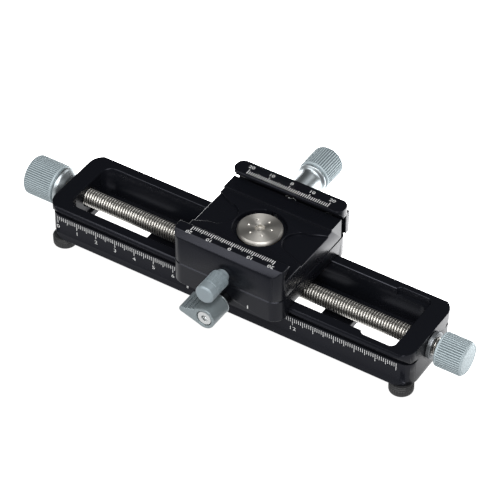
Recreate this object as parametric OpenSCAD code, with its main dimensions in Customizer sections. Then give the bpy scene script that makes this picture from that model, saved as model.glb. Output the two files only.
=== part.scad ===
// Macro focusing rail: a lead screw drives a carriage along a V-flanged rail, and a
// quick-release clamp turns on top of the carriage. Millimetres, +Z up, +X along the rail.
// The origin is the mouth of the quarter-inch thread in the middle of the rail's underside.

/* [Rail] */
// Length of the rail
rail_len = 181; // [175:1:220]
// Overall height of the rail
rail_h = 18.6; // [18.3:0.05:18.9]
// Width of the dovetail base
base_w = 38; // [37:0.1:39]
// Height of the base's upright edge
base_edge_h = 0.55; // [0.3:0.05:1.2]
// Width across the two ruler sides
side_w = 34.9; // [34:0.1:36]
// Height of the ledge above the ruler sides
side_top = 11.9; // [11:0.1:12.6]
// Width across the grooves under the flanges
groove_w = 32.8; // [32.4:0.1:33.4]
// Height where the flanges' lower slope starts
groove_top = 13.15; // [12.9:0.05:13.3]
// Width across the flange tips
flange_w = 41; // [40.6:0.1:41.4]
// Plan corner radius of the dovetail base
base_corner_r = 8; // [5:0.5:9]
// Plan corner radius of the ruler sides
side_corner_r = 5; // [4:0.5:7]
// Plan corner radius of the grooves
groove_corner_r = 5.5; // [3:0.5:6]
// Plan corner radius of the flanges
flange_corner_r = 7.8; // [6.5:0.1:10]

/* [Rail window] */
// Width of the window
window_w = 29.1; // [28.5:0.1:30.4]
// Corner radius of the window
window_corner_r = 5; // [4:0.5:10]
// Chamfer round the window's rim
window_rim = 0.4; // [0.2:0.1:0.6]
// Thickness of the left end wall
wall_left = 8.5; // [7.5:0.1:9.5]
// Thickness of the right end wall
wall_right = 9.3; // [8.5:0.1:11]
// Thickness of the window's floor
floor_t = 3.5; // [3:0.1:4.5]
// Length of the relief step at the right end
relief_len = 16.4; // [14:0.1:24]
// Width of the relief step
relief_w = 32.6; // [31.4:0.1:33]
// Depth of the relief step
relief_depth = 3.5; // [2:0.1:4]
// Corner radius of the relief step
relief_corner_r = 2.5; // [2:0.5:6.5]
// Width of the slots through the floor
slot_w = 14; // [8:0.5:18]
// Corner radius of the slots
slot_corner_r = 3; // [1:0.5:3.5]
// First slot: distance of its left end from the rail's middle
slot_a_start = -80.7; // [-81:0.1:-70]
// First slot: length
slot_a_len = 29.7; // [20:0.1:32]
// Second slot: distance of its left end from the rail's middle
slot_b_start = 22.8; // [20:0.1:28]
// Second slot: length
slot_b_len = 15; // [10:0.1:18]
// Third slot: distance of its left end from the rail's middle
slot_c_start = 52.1; // [48:0.1:56]
// Third slot: length
slot_c_len = 23.9; // [16:0.1:26]

/* [Tripod threads] */
// Core radius of the quarter-inch thread
quarter_r = 2.55; // [2.4:0.05:2.7]
// Core radius of the three-eighths thread
three_eighths_r = 3.95; // [3.8:0.05:4.1]
// Distance between the two threads
thread_pitch_x = 25; // [15:1:35]

/* [Feet] */
// Radius of a foot
foot_r = 5.4; // [4.5:0.1:6]
// Height of a foot
foot_h = 5.4; // [4:0.1:8]
// Rounding of a foot's lower edge
foot_edge = 0.8; // [0.4:0.1:1.2]
// Height of the narrow band under the rail
foot_band_h = 0.9; // [0.5:0.1:1.2]
// How far the narrow band is drawn in
foot_band_in = 0.4; // [0.2:0.1:0.8]
// Distance of a foot's centre from the rail's end
foot_inset = 5.5; // [4:0.1:5.8]
// Spacing of the feet across the rail
foot_spacing = 29.4; // [27:0.1:30]
// Radius of a foot's stud
foot_stud_r = 1.5; // [1:0.1:1.7]
// How far a stud goes up into the rail
foot_stud_up = 7; // [4:0.5:8]
// How far a stud goes down into its foot
foot_stud_down = 3.2; // [2:0.1:3.4]

/* [Lead screw] */
// Height of the screw's axis above the rail's underside
screw_z = 11.5; // [11.4:0.05:11.6]
// Radius of the screw's plain ends
screw_r = 3.95; // [3.7:0.05:4]
// Mean radius of the screw's thread
thread_r = 3.6; // [3.4:0.05:3.7]
// How far the thread reaches into each end wall
thread_in = 1; // [0.2:0.1:1.8]
// Radial running clearance of the screw in its bushes and nut
screw_fit = 0.05; // [0.02:0.01:0.1]
// Outer radius of the bushes
bush_r = 5.2; // [4.9:0.1:5.5]
// Length of the screw's inner bore in an end wall
bush_inset = 2; // [1:0.5:3]
// Radius of the inner bore in an end wall
wall_bore_r = 4.3; // [4.2:0.1:4.6]
// Radius of the right bush's flange
bush_flange_r = 6.6; // [6:0.1:6.8]
// Thickness of the right bush's flange
bush_flange_t = 1; // [0.6:0.1:1.5]
// End play of the screw at each end of the rail
end_play = 0.1; // [0.05:0.05:0.2]
// How far the screw reaches into each knob
screw_in_knob = 10; // [6:0.5:11]

/* [Drive knobs] */
// Radius of the left knob
knob_left_r = 9.1; // [8:0.05:10]
// Length of the left knob's ribbed barrel
knob_left_len = 15.2; // [12:0.1:18]
// Length of the left knob's neck
neck_len = 1.6; // [1:0.1:4]
// Radius of the left knob's neck
neck_r = 5; // [4.8:0.1:6]
// Length of the left knob's polished shoulder
shoulder_len = 4; // [3:0.1:6]
// Width of the groove behind the ribs
knob_groove_w = 0.7; // [0.4:0.1:1]
// Depth of the groove behind the ribs
knob_groove_d = 0.9; // [0.4:0.1:1.2]
// Radius of the right knob
knob_right_r = 7.7; // [6.5:0.05:9]
// Length of the right knob
knob_right_len = 12.6; // [12:0.1:16]
// Chamfer of the knobs' ends
knob_edge = 0.8; // [0.4:0.1:1.2]
// Radius of the thrust collar
collar_r = 6; // [5:0.1:6.5]
// Width of the thrust collar
collar_w = 1.9; // [1.5:0.1:3]
// Gap between the collar and the right knob
collar_gap = 2.5; // [1.5:0.1:3]
// Radius of the knobs' set screws
set_screw_r = 1.5; // [1:0.1:2]
// How far a set screw lies under the knob's surface
set_screw_sink = 0.8; // [0.5:0.1:1.5]

/* [Carriage] */
// Place of the carriage along the rail
carriage_x = 6.5; // [-10:0.5:15]
// Width of the two blocks along the rail
block_w = 53.6; // [52:0.1:60]
// Depth of the carriage across the rail
block_d = 56.2; // [56:0.1:60]
// Height of the carriage
carriage_h = 10.95; // [10.6:0.05:12]
// Upright corner radius of the blocks
block_corner_r = 5.7; // [3:0.1:7]
// Chamfer of the carriage's top edge
carriage_rim = 0.5; // [0.2:0.1:0.8]
// How far the carriage hooks down past the flange tips
hook_depth = 1.9; // [1.6:0.05:2.2]
// Clearance between the carriage and the flange slopes
slide_gap = 0.15; // [0.05:0.05:0.2]
// Clearance between the carriage and the rail's top
bridge_gap = 0.3; // [0.15:0.05:0.4]

/* [Drive nut] */
// Length of the nut along the rail
nut_len = 24; // [22:0.5:30]
// Width of the nut
nut_w = 16; // [15.4:0.1:20]
// Depth of the nut below the screw's axis
nut_below = 6; // [5.5:0.1:7]
// Corner radius of the nut
nut_corner_r = 1; // [0.5:0.1:2]
// Radius of the nut screws
nut_screw_r = 1.5; // [1.2:0.1:1.6]
// Radius of the nut screws' heads
nut_head_r = 2.75; // [2.4:0.05:2.8]
// Height of the nut screws' heads
nut_head_h = 3; // [2:0.1:3.2]
// Width across the flats of the nut screws' sockets
nut_hex = 2.5; // [2:0.1:3]
// Depth of the nut screws' sockets
nut_hex_depth = 1.5; // [1:0.1:2]
// Clearance of the nut screws in the carriage
nut_screw_gap = 0.2; // [0.1:0.05:0.3]
// Distance of the nut screws from the middle along the rail
nut_screw_x = 6.5; // [6:0.1:8]
// Distance of the nut screws from the middle across the rail
nut_screw_y = 5.8; // [5.7:0.05:6]
// How far the nut screws go into the nut
nut_screw_in = 8; // [4:0.5:9]

/* [Pivot] */
// Radius of the pivot post
post_r = 8; // [7.5:0.1:8.3]
// Running clearance of the clamp on the post
post_fit = 0.03; // [0.02:0.01:0.06]
// Radius of the post's flange
post_flange_r = 13.5; // [13.3:0.1:15]
// Thickness of the post's flange
post_flange_t = 1.95; // [1.6:0.05:2.2]
// Radius of the post screws
post_screw_r = 1.25; // [1:0.05:1.4]
// Radius of the post screws' countersunk heads
post_screw_head_r = 2.3; // [2:0.1:2.5]
// Distance of the post screws from the pivot
post_screw_at = 10.8; // [10.6:0.1:11]
// Number of post screws
post_screw_n = 4; // [2:2:4]
// Width across the flats of the post screws' sockets
post_hex = 1.5; // [1.2:0.1:1.8]
// Depth of the post screws' sockets
post_hex_depth = 1; // [0.6:0.1:1.2]
// How far the post screws go into the carriage
post_screw_in = 3; // [2:0.1:3.4]
// Gap between the carriage and the clamp
seam_gap = 0.2; // [0.15:0.05:0.4]
// Radius of the pivot cap
cap_r = 9.8; // [9.2:0.1:10.4]
// Thickness of the pivot cap
cap_t = 1.85; // [1.4:0.05:1.9]
// Chamfer round the pivot cap
cap_edge = 0.7; // [0.3:0.1:0.9]
// Radial gap round the pivot cap
cap_gap = 1.8; // [0.8:0.05:2]
// Radius of the cap's dimples, drilled as 90 degree cones
dimple_r = 0.65; // [0.4:0.05:0.9]
// Distance of the dimples from the pivot
dimple_at = 5.1; // [4.6:0.1:6]
// Number of dimples
dimple_n = 6; // [4:1:8]
// Angle of the first dimple
dimple_turn = 11; // [0:1:60]
// Width across the flats of the cap's hex socket
cap_hex = 4; // [3:0.1:5]
// Depth of the cap's hex socket
cap_hex_depth = 1.4; // [1:0.1:1.6]
// Radius of the cap's stem
stem_r = 3; // [2.6:0.1:3.4]
// Length of the cap's stem
stem_len = 5; // [3:0.5:6]
// Thickness of the pivot washer
washer_t = 0.4; // [0.3:0.05:0.5]
// Clearance over the pivot washer
washer_play = 0.05; // [0.03:0.01:0.08]
// Clearance of the pivot washer round the post
washer_bore_gap = 0.2; // [0.1:0.05:0.3]
// How far the pivot washer stays inside the cap's rim
washer_in = 0.2; // [0:0.1:0.6]

/* [Clamp base] */
// Depth of the clamp base across the rail
clamp_d = 49.7; // [49:0.1:51]
// Height of the channel floor above the base's underside
channel_h = 9.2; // [9.1:0.05:10]
// Height of the jaws above the channel floor
jaw_h = 6.6; // [6:0.1:7.5]
// Size of the chamfer along the front
front_chamfer = 3.2; // [2:0.1:3.6]
// Width of the front jaw's flat top
front_top_w = 5.25; // [4:0.05:6]
// Height of the upright edge of the jaws' lips
lip_edge_h = 0.8; // [0.5:0.1:1.2]
// Reach of the undercut under the front lip
undercut = 3.35; // [2:0.05:3.6]
// Distance of the step in the floor from the pivot
land_y = 13.4; // [13.2:0.1:15]
// Height of the step in the floor
land_step = 1.1; // [0.6:0.1:1.5]
// Depth of the side pockets
pocket_depth = 1.1; // [0.5:0.1:1.3]
// Radius of a side pocket's round end
pocket_r = 7.4; // [6:0.1:7.6]
// Distance of a pocket's round end from the block's side
pocket_inset = 7.2; // [6:0.1:7.4]
// Half width of a pocket where it opens at the side
pocket_mouth = 11; // [9:0.1:12]

/* [Jaw] */
// Gap between the clamp base and the jaw's body
jaw_gap = 3; // [2.8:0.1:3.5]
// Thickness of the jaw's body
jaw_t = 2.8; // [2.4:0.1:4]
// Reach of the jaw's lip in front of its body
lip_reach = 5.9; // [5:0.1:6.3]
// Reach of the 45 degree undercut of the jaw's lip
lip_undercut = 3.3; // [2.5:0.1:3.5]
// Corner radius of the jaw's lip
lip_corner_r = 4; // [2:0.1:4.2]
// Overhang of the lip's top past the jaw's ends
lip_over = 0.45; // [0:0.05:0.6]
// Offset of the jaw towards the small knob
jaw_shift = 0.55; // [0:0.05:0.8]
// Height of the lip's block
lip_h = 4.3; // [4.2:0.1:4.6]
// Chamfer of the lip's front edge
lip_rim = 0.5; // [0.2:0.1:0.6]
// Chamfer of the lip's back edge
lip_back_rim = 0.25; // [0.1:0.05:0.5]
// Gap under the lip over the base's rear land
lip_gap = 0.4; // [0.3:0.05:0.6]
// Gap between the jaw and the carriage's top
jaw_lift = 0.6; // [0.4:0.1:1]
// Radius of the guide pins
guide_r = 1.75; // [1.5:0.05:1.8]
// Sliding clearance of the guide pins
guide_fit = 0.03; // [0.02:0.01:0.05]
// Spacing of the guide pins
guide_spacing = 34; // [26:0.5:36]
// Height of the guide pins above the base's underside
guide_up = 4.5; // [3.5:0.1:5]
// How far the guide pins reach into the base at rest
guide_in = 7.5; // [6:0.1:7.6]
// How far the jaw can be drawn in
jaw_in = 2.5; // [2:0.1:2.5]

/* [Clamp screw and knob] */
// Radius of the clamp screw
clamp_screw_r = 2; // [1.7:0.05:2.1]
// Height of the clamp screw above the base's underside
clamp_screw_up = 6.5; // [6.3:0.05:6.6]
// Distance of the clamp screw's tip from the pivot cap when the jaw is drawn in
tip_clear = 0.9; // [0.8:0.1:1.2]
// Clearance of a screw in its thread
thread_fit = 0.05; // [0.02:0.01:0.08]
// Clearance of the clamp screw in the jaw
jaw_hole_gap = 0.2; // [0.1:0.05:0.3]
// Radius of the clamp knob
clamp_knob_r = 7.4; // [6.5:0.1:8]
// Length of the clamp knob's barrel
clamp_knob_len = 13.5; // [11:0.5:16]
// Radius of the clamp knob's neck at the jaw
clamp_neck_r = 4.4; // [3.6:0.1:5]
// Length of the clamp knob's neck
clamp_neck_len = 14.5; // [12:0.5:18]
// Length of the neck's straight part
clamp_straight_len = 6.5; // [4:0.1:9]
// Radius of the ring behind the barrel
clamp_ring_r = 7; // [6:0.1:7.2]
// Width of the ring behind the barrel
clamp_ring_w = 1.6; // [1:0.1:2.5]
// Chamfer of the ring behind the barrel
clamp_ring_edge = 0.5; // [0.2:0.1:0.8]
// How far the screw reaches into the clamp knob's barrel
clamp_screw_out = 8; // [5:0.5:9]
// Thickness of the washer under the clamp knob
jaw_washer_t = 0.6; // [0.4:0.1:1]
// Radius of the washer under the clamp knob
jaw_washer_r = 4.8; // [4.5:0.1:5.2]

/* [Jaw spring] */
// Radius of the spring's wire
wire_r = 0.3; // [0.25:0.01:0.32]
// Radius of the spring's curls
curl_r = 2.75; // [2.7:0.01:2.85]
// Length of the spring at rest
spring_len = 8.4; // [8:0.1:9]
// Number of curls
curls = 6; // [4:1:7]
// Radial gap between the spring and its pocket
spring_gap = 0.25; // [0.15:0.01:0.3]

/* [Pan lock] */
// Height of the pan screw above the base's underside
pan_up = 4.55; // [4.54:0.01:4.6]
// Radius of the pan screw
pan_screw_r = 2; // [1.6:0.05:2]
// Length of the plug at the pivot post
pan_plug_len = 4; // [3:0.1:6]
// Clearance between the plug and the post
pan_plug_gap = 0.05; // [0.03:0.01:0.1]
// Radius of the pan knob
pan_knob_r = 4.35; // [4:0.05:4.38]
// Length of the pan knob
pan_knob_len = 12.9; // [10:0.1:15]
// Length of the knurled part
pan_knurl_len = 8.2; // [6:0.1:8.6]
// Width of the groove in front of the knurling
pan_groove_w = 0.4; // [0.3:0.1:0.8]
// Depth of the groove in front of the knurling
pan_groove_d = 0.4; // [0.2:0.1:0.6]
// Radius of the pan knob's collar
pan_collar_r = 2.9; // [2.5:0.1:3.5]
// Length of the pan knob's collar
pan_collar_len = 2.25; // [1.5:0.05:3]
// Gap between the collar and the clamp base
pan_gap = 0.15; // [0.1:0.05:0.3]
// How far the pan screw reaches into the pan knob's barrel
pan_screw_out = 6.5; // [4:0.5:9]

/* [Carriage lock] */
// Height of the lock's axis above the carriage's underside
lock_up = 2.65; // [2.6:0.05:3]
// Radius of the lever's threaded stud
stud_r = 2; // [1.7:0.05:2]
// Length of the plug at the flange
lock_plug_len = 3.4; // [3:0.1:4]
// Depth of the plug past the flange tip
lock_plug_past = 0.7; // [0.4:0.1:0.9]
// Clearance between the plug and the flange
lock_plug_gap = 0.05; // [0.03:0.01:0.1]
// Radius of the stud's shoulder
stud_shoulder_r = 3.4; // [2.8:0.1:4]
// Length of the stud's shoulder
stud_shoulder_len = 3.8; // [3:0.1:5]
// Gap between the shoulder and the carriage
shoulder_gap = 0.1; // [0.1:0.05:0.3]
// Radius of the lever's washer
lever_washer_r = 5.2; // [5.1:0.1:6.2]
// Thickness of the lever's washer
lever_washer_t = 0.6; // [0.4:0.1:1]
// Radius of the stud's splined head
spline_r = 2.8; // [2.5:0.05:2.9]
// Running clearance of the splined head
spline_fit = 0.05; // [0.02:0.01:0.1]
// Gap between the washer and the lever
lever_gap = 0.05; // [0.05:0.05:0.2]
// Radius of the lever's hub
hub_r = 5; // [4.6:0.1:5.5]
// Depth of the lever across the rail
lever_d = 10.9; // [10.5:0.1:13]
// Distance of the lever's tip from its axis
lever_reach = 10.7; // [10:0.1:18]
// Radius of the lever's tip
lever_tip_r = 1.6; // [1.2:0.1:2.5]
// Depth of the counterbore in the lever's end
counterbore_depth = 6.5; // [6.4:0.1:6.6]
// Radius of the counterbore
counterbore_r = 3.6; // [3.5:0.05:3.8]
// Radius of the lever's cap screw head
cap_head_r = 3.3; // [3:0.05:3.4]
// Height of the lever's cap screw head
cap_head_h = 2.7; // [2:0.1:2.8]
// How deep the cap screw's head lies in the counterbore
cap_head_sink = 0.35; // [0.1:0.05:0.4]
// Radius of the cap screw's shank
cap_shank_r = 1.5; // [1.2:0.1:1.6]
// Length of the cap screw's shank
cap_shank_len = 6; // [4:0.5:7]
// Width across the flats of the cap screw's socket
cap_socket = 2.5; // [2:0.1:3]
// Depth of the cap screw's socket
cap_socket_depth = 1.4; // [1:0.1:1.6]
// Wall of the lever spring's sleeve
lever_spring_wall = 0.5; // [0.3:0.05:0.6]
// How far the arm's sides lie inside the rounds of the hub and the tip
arm_set = 0.1; // [0.05:0.05:0.3]
// Depth of the grooves on the lever's arm
arm_groove_depth = 0.6; // [0.3:0.1:0.9]
// Width of the grooves on the lever's arm
arm_groove_w = 1.3; // [0.8:0.1:1.6]
// Spacing of the grooves on the lever's arm
arm_groove_pitch = 2.1; // [1.8:0.1:2.6]
// Number of grooves on the lever's arm
arm_groove_n = 3; // [2:1:3]
// Length of the plain tip past the grooves
arm_tip_land = 2.4; // [2:0.1:3]

/* [Hidden] */
$fn = 64;

// Overshoot of every cut past the face it opens
over = 0.5;

// Rail levels and ends
base_top = base_edge_h + (base_w - side_w) / 2;
tip_z = groove_top + (flange_w - groove_w) / 2;
top_w = flange_w - 2 * (rail_h - tip_z);
rail_end = rail_len / 2;
window_left = -rail_end + wall_left;
window_right = rail_end - wall_right;
window_len = window_right - window_left;
foot_x = rail_end - foot_inset;
foot_y = foot_spacing / 2;

// Lead screw and drive knobs along X
neck_start = -rail_end - end_play;
shoulder_start = neck_start - neck_len;
barrel_left = shoulder_start - shoulder_len;
knob_left_end = barrel_left - knob_left_len;
collar_start = rail_end + end_play;
barrel_right = collar_start + collar_w + collar_gap;
knob_right_end = barrel_right + knob_right_len;
screw_left = barrel_left - screw_in_knob;
screw_right = barrel_right + screw_in_knob;
thread_start = window_left - thread_in - screw_left;
thread_end = window_right + thread_in - screw_left;

// Carriage levels
carriage_bottom = tip_z - hook_depth;
carriage_top = carriage_bottom + carriage_h;
bridge_z = rail_h + bridge_gap;
front_y = -block_d / 2;
nut_bottom = screw_z - nut_below;
flange_floor = carriage_top - post_flange_t - washer_play;
nut_head_floor = flange_floor - nut_head_h;

// Clamp levels
clamp_bottom = carriage_top + seam_gap;
channel_z = clamp_bottom + channel_h;
land_z = channel_z + land_step;
jaws_top = channel_z + jaw_h;
cap_z = channel_z - cap_t;
recess_z = cap_z - washer_play - washer_t;
recess_r = cap_r + cap_gap;
front_lip_y = front_y + front_chamfer + front_top_w;
clamp_back = front_y + clamp_d;
pan_z = clamp_bottom + pan_up;

// Jaw, clamp screw and knob along Y
jaw_front = clamp_back + jaw_gap;
jaw_back = jaw_front + jaw_t;
lip_front = jaw_front - lip_reach;
jaw_bottom = carriage_top + jaw_lift;
guide_z = clamp_bottom + guide_up;
guide_tip = clamp_back - guide_in;
clamp_screw_z = clamp_bottom + clamp_screw_up;
spring_foot = jaw_front - spring_len;
clamp_knob_front = jaw_back + jaw_washer_t;
clamp_barrel = clamp_knob_front + clamp_neck_len;
clamp_knob_end = clamp_barrel + clamp_knob_len;
screw_tip = cap_r + tip_clear + jaw_in;
pocket_r_spring = curl_r + wire_r + spring_gap;

// Carriage lock along Y
lock_z = carriage_bottom + lock_up;
plug_inner = -flange_w / 2 + lock_plug_past;
plug_outer = plug_inner - lock_plug_len;
shoulder_y = front_y - shoulder_gap;
washer_y = shoulder_y - stud_shoulder_len;
lever_y = washer_y - lever_washer_t - lever_gap;
lever_end = lever_y - lever_d;
head_y = lever_end + cap_head_sink;
head_foot = head_y + cap_head_h;
ledge_y = lever_end + counterbore_depth;

// Colours
black = "#17181b";
steel = "#c9ccce";
knob_grey = "#9aa2a5";
bronze = "#a9824a";
brass = "#c2a14c";
rubber = "#1b1b1c";

// Helpers: axes, screws and rounded blocks ---------------------------------------------

// Lays a shape drawn along +Z along +X, from x
module along_x(x, y = 0, z = 0) translate([x, y, z]) rotate([0, 90, 0]) children();

// Lays a shape drawn along +Z along +Y, from y
module along_y(y, x = 0, z = 0) translate([x, y, z]) rotate([-90, 0, 0]) children();

// Extrudes a (Y, Z) outline along +X, from x
module across(x, length) translate([x, 0, 0]) rotate([90, 0, 90]) linear_extrude(length) children();

// Mirrors the right half of a (Y, Z) outline to the left
function both_sides(half) = concat(half, [for (i = [len(half) - 1 : -1 : 0]) [-half[i][0], half[i][1]]]);

// Outline of a block's side: half its width, its height, and the edges' chamfers (negative flares)
function block_side(half, h, top, bottom) = concat(
    bottom == 0 ? [[half, 0]] : [[half - bottom, 0], [half, abs(bottom)]],
    top == 0 ? [[half, h]] : [[half, h - abs(top)], [half - top, h]]
);

// Upright block with round corners, centred on X and Y, its top and bottom edges chamfered
module rounded_block(w, d, h, r, top = 0, bottom = 0) {
    translate([-w / 2 + r, 0, 0])
        rotate([90, 0, 90])
            linear_extrude(w - 2 * r)
                polygon(both_sides(block_side(d / 2, h, top, bottom)));
    translate([0, d / 2 - r, 0])
        rotate([90, 0, 0])
            linear_extrude(d - 2 * r)
                polygon(both_sides(block_side(w / 2, h, top, bottom)));
    for (x = [-1, 1], y = [-1, 1])
        translate([x * (w / 2 - r), y * (d / 2 - r), 0])
            rotate_extrude()
                polygon(concat([[0, h], [0, 0]], block_side(r, h, top, bottom)));
}

// Body of revolution from (radius, length) points, closed on its axis
module turned(points) rotate_extrude() polygon(points);

// Hexagonal socket, width across flats, cut upwards from z = 0
module hex_socket(flats, depth) cylinder(r = flats / sqrt(3), h = depth, $fn = 6);

// Rail -----------------------------------------------------------------------------------

// Right half of the rail's section
rail_half = [
    [base_w / 2, 0],
    [base_w / 2, base_edge_h],
    [side_w / 2, base_top],
    [side_w / 2, side_top],
    [groove_w / 2, side_top],
    [groove_w / 2, groove_top],
    [flange_w / 2, tip_z],
    [top_w / 2, rail_h]
];

// Slice of the rail's section between two heights, with its own rounded plan
module rail_tier(z0, z1, w, r) {
    intersection() {
        across(-rail_end, rail_len) polygon(both_sides(rail_half));
        translate([0, 0, z0]) rounded_block(rail_len, w, z1 - z0, r);
    }
}

// Slot through the window's floor
module floor_slot(start, length) {
    translate([start + length / 2, 0, -over])
        rounded_block(length, slot_w, floor_t + 2 * over, slot_corner_r);
}

module window_cut() {
    translate([(window_left + window_right) / 2, 0, floor_t])
        rounded_block(window_len, window_w, rail_h - floor_t + over, window_corner_r, -window_rim - over);
    translate([window_right - relief_len / 2, 0, rail_h - relief_depth])
        rounded_block(relief_len, relief_w, relief_depth + over, relief_corner_r, -window_rim - over);
}

module end_wall_bores() {
    along_x(-rail_end - over, 0, screw_z) cylinder(r = wall_bore_r, h = rail_len + 2 * over);
    along_x(-rail_end - over, 0, screw_z) cylinder(r = bush_r, h = wall_left - bush_inset + over);
    along_x(window_right + bush_inset, 0, screw_z) cylinder(r = bush_r, h = wall_right - bush_inset + over);
    along_x(rail_end - bush_flange_t, 0, screw_z) cylinder(r = bush_flange_r, h = bush_flange_t + over);
}

// Places its children at the four feet
module at_feet() for (x = [-foot_x, foot_x], y = [-foot_y, foot_y]) translate([x, y, 0]) children();

module rail_frame() {
    color(black)
        difference() {
            union() {
                rail_tier(0, base_top, base_w, base_corner_r);
                rail_tier(base_top, side_top, side_w, side_corner_r);
                rail_tier(side_top, groove_top, groove_w, groove_corner_r);
                rail_tier(groove_top, rail_h, flange_w, flange_corner_r);
            }
            window_cut();
            end_wall_bores();
            floor_slot(slot_a_start, slot_a_len);
            floor_slot(slot_b_start, slot_b_len);
            floor_slot(slot_c_start, slot_c_len);
            translate([0, 0, -over]) cylinder(r = quarter_r, h = floor_t + 2 * over);
            translate([-thread_pitch_x, 0, -over]) cylinder(r = three_eighths_r, h = floor_t + 2 * over);
            at_feet() translate([0, 0, -over]) cylinder(r = foot_stud_r + thread_fit, h = foot_stud_up + 2 * over);
        }
}

module feet() {
    color(rubber)
        at_feet()
            difference() {
                turned([
                    [0, -foot_h],
                    [foot_r - foot_edge, -foot_h],
                    [foot_r, -foot_h + foot_edge],
                    [foot_r, -foot_band_h],
                    [foot_r - foot_band_in, -foot_band_h],
                    [foot_r - foot_band_in, 0],
                    [0, 0]
                ]);
                translate([0, 0, -foot_stud_down]) cylinder(r = foot_stud_r, h = foot_stud_down + over);
            }
}

module foot_studs() {
    color(steel)
        at_feet() translate([0, 0, -foot_stud_down]) cylinder(r = foot_stud_r, h = foot_stud_down + foot_stud_up);
}

module bush_left() {
    color(bronze)
        along_x(-rail_end, 0, screw_z)
            difference() {
                cylinder(r = bush_r, h = wall_left - bush_inset);
                translate([0, 0, -over]) cylinder(r = screw_r + screw_fit, h = wall_left + over);
            }
}

module bush_right() {
    color(black)
        along_x(window_right + bush_inset, 0, screw_z)
            difference() {
                union() {
                    cylinder(r = bush_r, h = wall_right - bush_inset);
                    translate([0, 0, wall_right - bush_inset - bush_flange_t])
                        cylinder(r = bush_flange_r, h = bush_flange_t);
                }
                translate([0, 0, -over]) cylinder(r = screw_r + screw_fit, h = wall_right + over);
            }
}

// Lead screw and its knobs -----------------------------------------------------------------

module lead_screw() {
    color(steel)
        along_x(screw_left, 0, screw_z)
            turned([
                [0, 0],
                [screw_r, 0],
                [screw_r, thread_start],
                [thread_r, thread_start],
                [thread_r, thread_end],
                [screw_r, thread_end],
                [screw_r, screw_right - screw_left],
                [0, screw_right - screw_left]
            ]);
}

// Ribbed barrel's outline from its inner end: groove, barrel and chamfered end
function barrel_outline(r, length) = [
    [r - knob_groove_d, 0],
    [r - knob_groove_d, knob_groove_w],
    [r, knob_groove_w],
    [r, length - knob_edge],
    [r - knob_edge, length],
    [0, length]
];

// Radial hole or set screw, pointing down from the screw's axis
module set_screw(x, from, to, r) translate([x, 0, screw_z - to]) cylinder(r = r, h = to - from);

set_screw_left_x = barrel_left - knob_left_len / 2;
set_screw_right_x = barrel_right + knob_right_len / 2;

module knob_left() {
    color(knob_grey)
        difference() {
            along_x(neck_start, 0, screw_z)
                rotate([180, 0, 0])
                    turned(concat(
                        [
                            [0, 0],
                            [neck_r, 0],
                            [neck_r, neck_len],
                            [knob_left_r - knob_groove_d, neck_len + shoulder_len - knob_groove_w],
                            [knob_left_r, neck_len + shoulder_len - knob_groove_w],
                            [knob_left_r, neck_len + shoulder_len]
                        ],
                        [
                            for (p = barrel_outline(knob_left_r, knob_left_len))
                                [p[0], p[1] + neck_len + shoulder_len]
                        ]
                    ));
            along_x(screw_left, 0, screw_z) cylinder(r = screw_r, h = neck_start - screw_left + over);
            set_screw(set_screw_left_x, 0, knob_left_r + over, set_screw_r);
        }
}

module knob_right() {
    color(knob_grey)
        difference() {
            along_x(barrel_right, 0, screw_z)
                turned([
                    [0, 0],
                    [knob_right_r - knob_edge, 0],
                    [knob_right_r, knob_edge],
                    [knob_right_r, knob_right_len - knob_edge],
                    [knob_right_r - knob_edge, knob_right_len],
                    [0, knob_right_len]
                ]);
            along_x(barrel_right - over, 0, screw_z) cylinder(r = screw_r, h = screw_in_knob + over);
            set_screw(set_screw_right_x, 0, knob_right_r + over, set_screw_r);
        }
}

module thrust_collar() {
    color(steel)
        along_x(collar_start, 0, screw_z)
            difference() {
                cylinder(r = collar_r, h = collar_w);
                translate([0, 0, -over]) cylinder(r = screw_r, h = collar_w + 2 * over);
            }
}

module knob_screws() {
    color(steel) {
        set_screw(set_screw_left_x, screw_r, knob_left_r - set_screw_sink, set_screw_r);
        set_screw(set_screw_right_x, screw_r, knob_right_r - set_screw_sink, set_screw_r);
    }
}

// Carriage -----------------------------------------------------------------------------------

// Section of the flanges grown by a clearance, open downwards from z
function flange_channel(gap, top_z, z) = both_sides([
    [flange_w / 2 + gap * sqrt(2) - (tip_z - z), z],
    [flange_w / 2 + gap * sqrt(2), tip_z],
    [flange_w / 2 + gap * sqrt(2) - (top_z - tip_z), top_z]
]);

// Places its children at the four nut screws
module at_nut_screws() {
    for (x = [-nut_screw_x, nut_screw_x], y = [-nut_screw_y, nut_screw_y])
        translate([carriage_x + x, y, 0]) children();
}

// Places its children at the post screws
module at_post_screws() {
    for (i = [0 : post_screw_n - 1])
        translate([carriage_x, 0, 0]) rotate(i * 360 / post_screw_n) translate([post_screw_at, 0, 0]) children();
}

module carriage_block() {
    color(black)
        difference() {
            translate([carriage_x, 0, carriage_bottom])
                rounded_block(block_w, block_d, carriage_h, block_corner_r, carriage_rim);
            across(carriage_x - block_w / 2 - over, block_w + 2 * over)
                polygon(flange_channel(slide_gap, bridge_z, carriage_bottom - over));
            translate([carriage_x, 0, flange_floor])
                cylinder(r = post_flange_r + thread_fit, h = carriage_top - flange_floor + over);
            at_nut_screws() {
                translate([0, 0, nut_head_floor])
                    cylinder(r = nut_head_r + nut_screw_gap, h = flange_floor - nut_head_floor + over);
                translate([0, 0, bridge_z - over])
                    cylinder(r = nut_screw_r + nut_screw_gap, h = nut_head_floor - bridge_z + 2 * over);
            }
            at_post_screws()
                translate([0, 0, flange_floor - post_screw_in - over])
                    cylinder(r = post_screw_r + thread_fit, h = post_screw_in + 2 * over);
            along_y(front_y - over, carriage_x, lock_z)
                cylinder(r = stud_r + thread_fit, h = plug_inner - front_y + over);
        }
}

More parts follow.
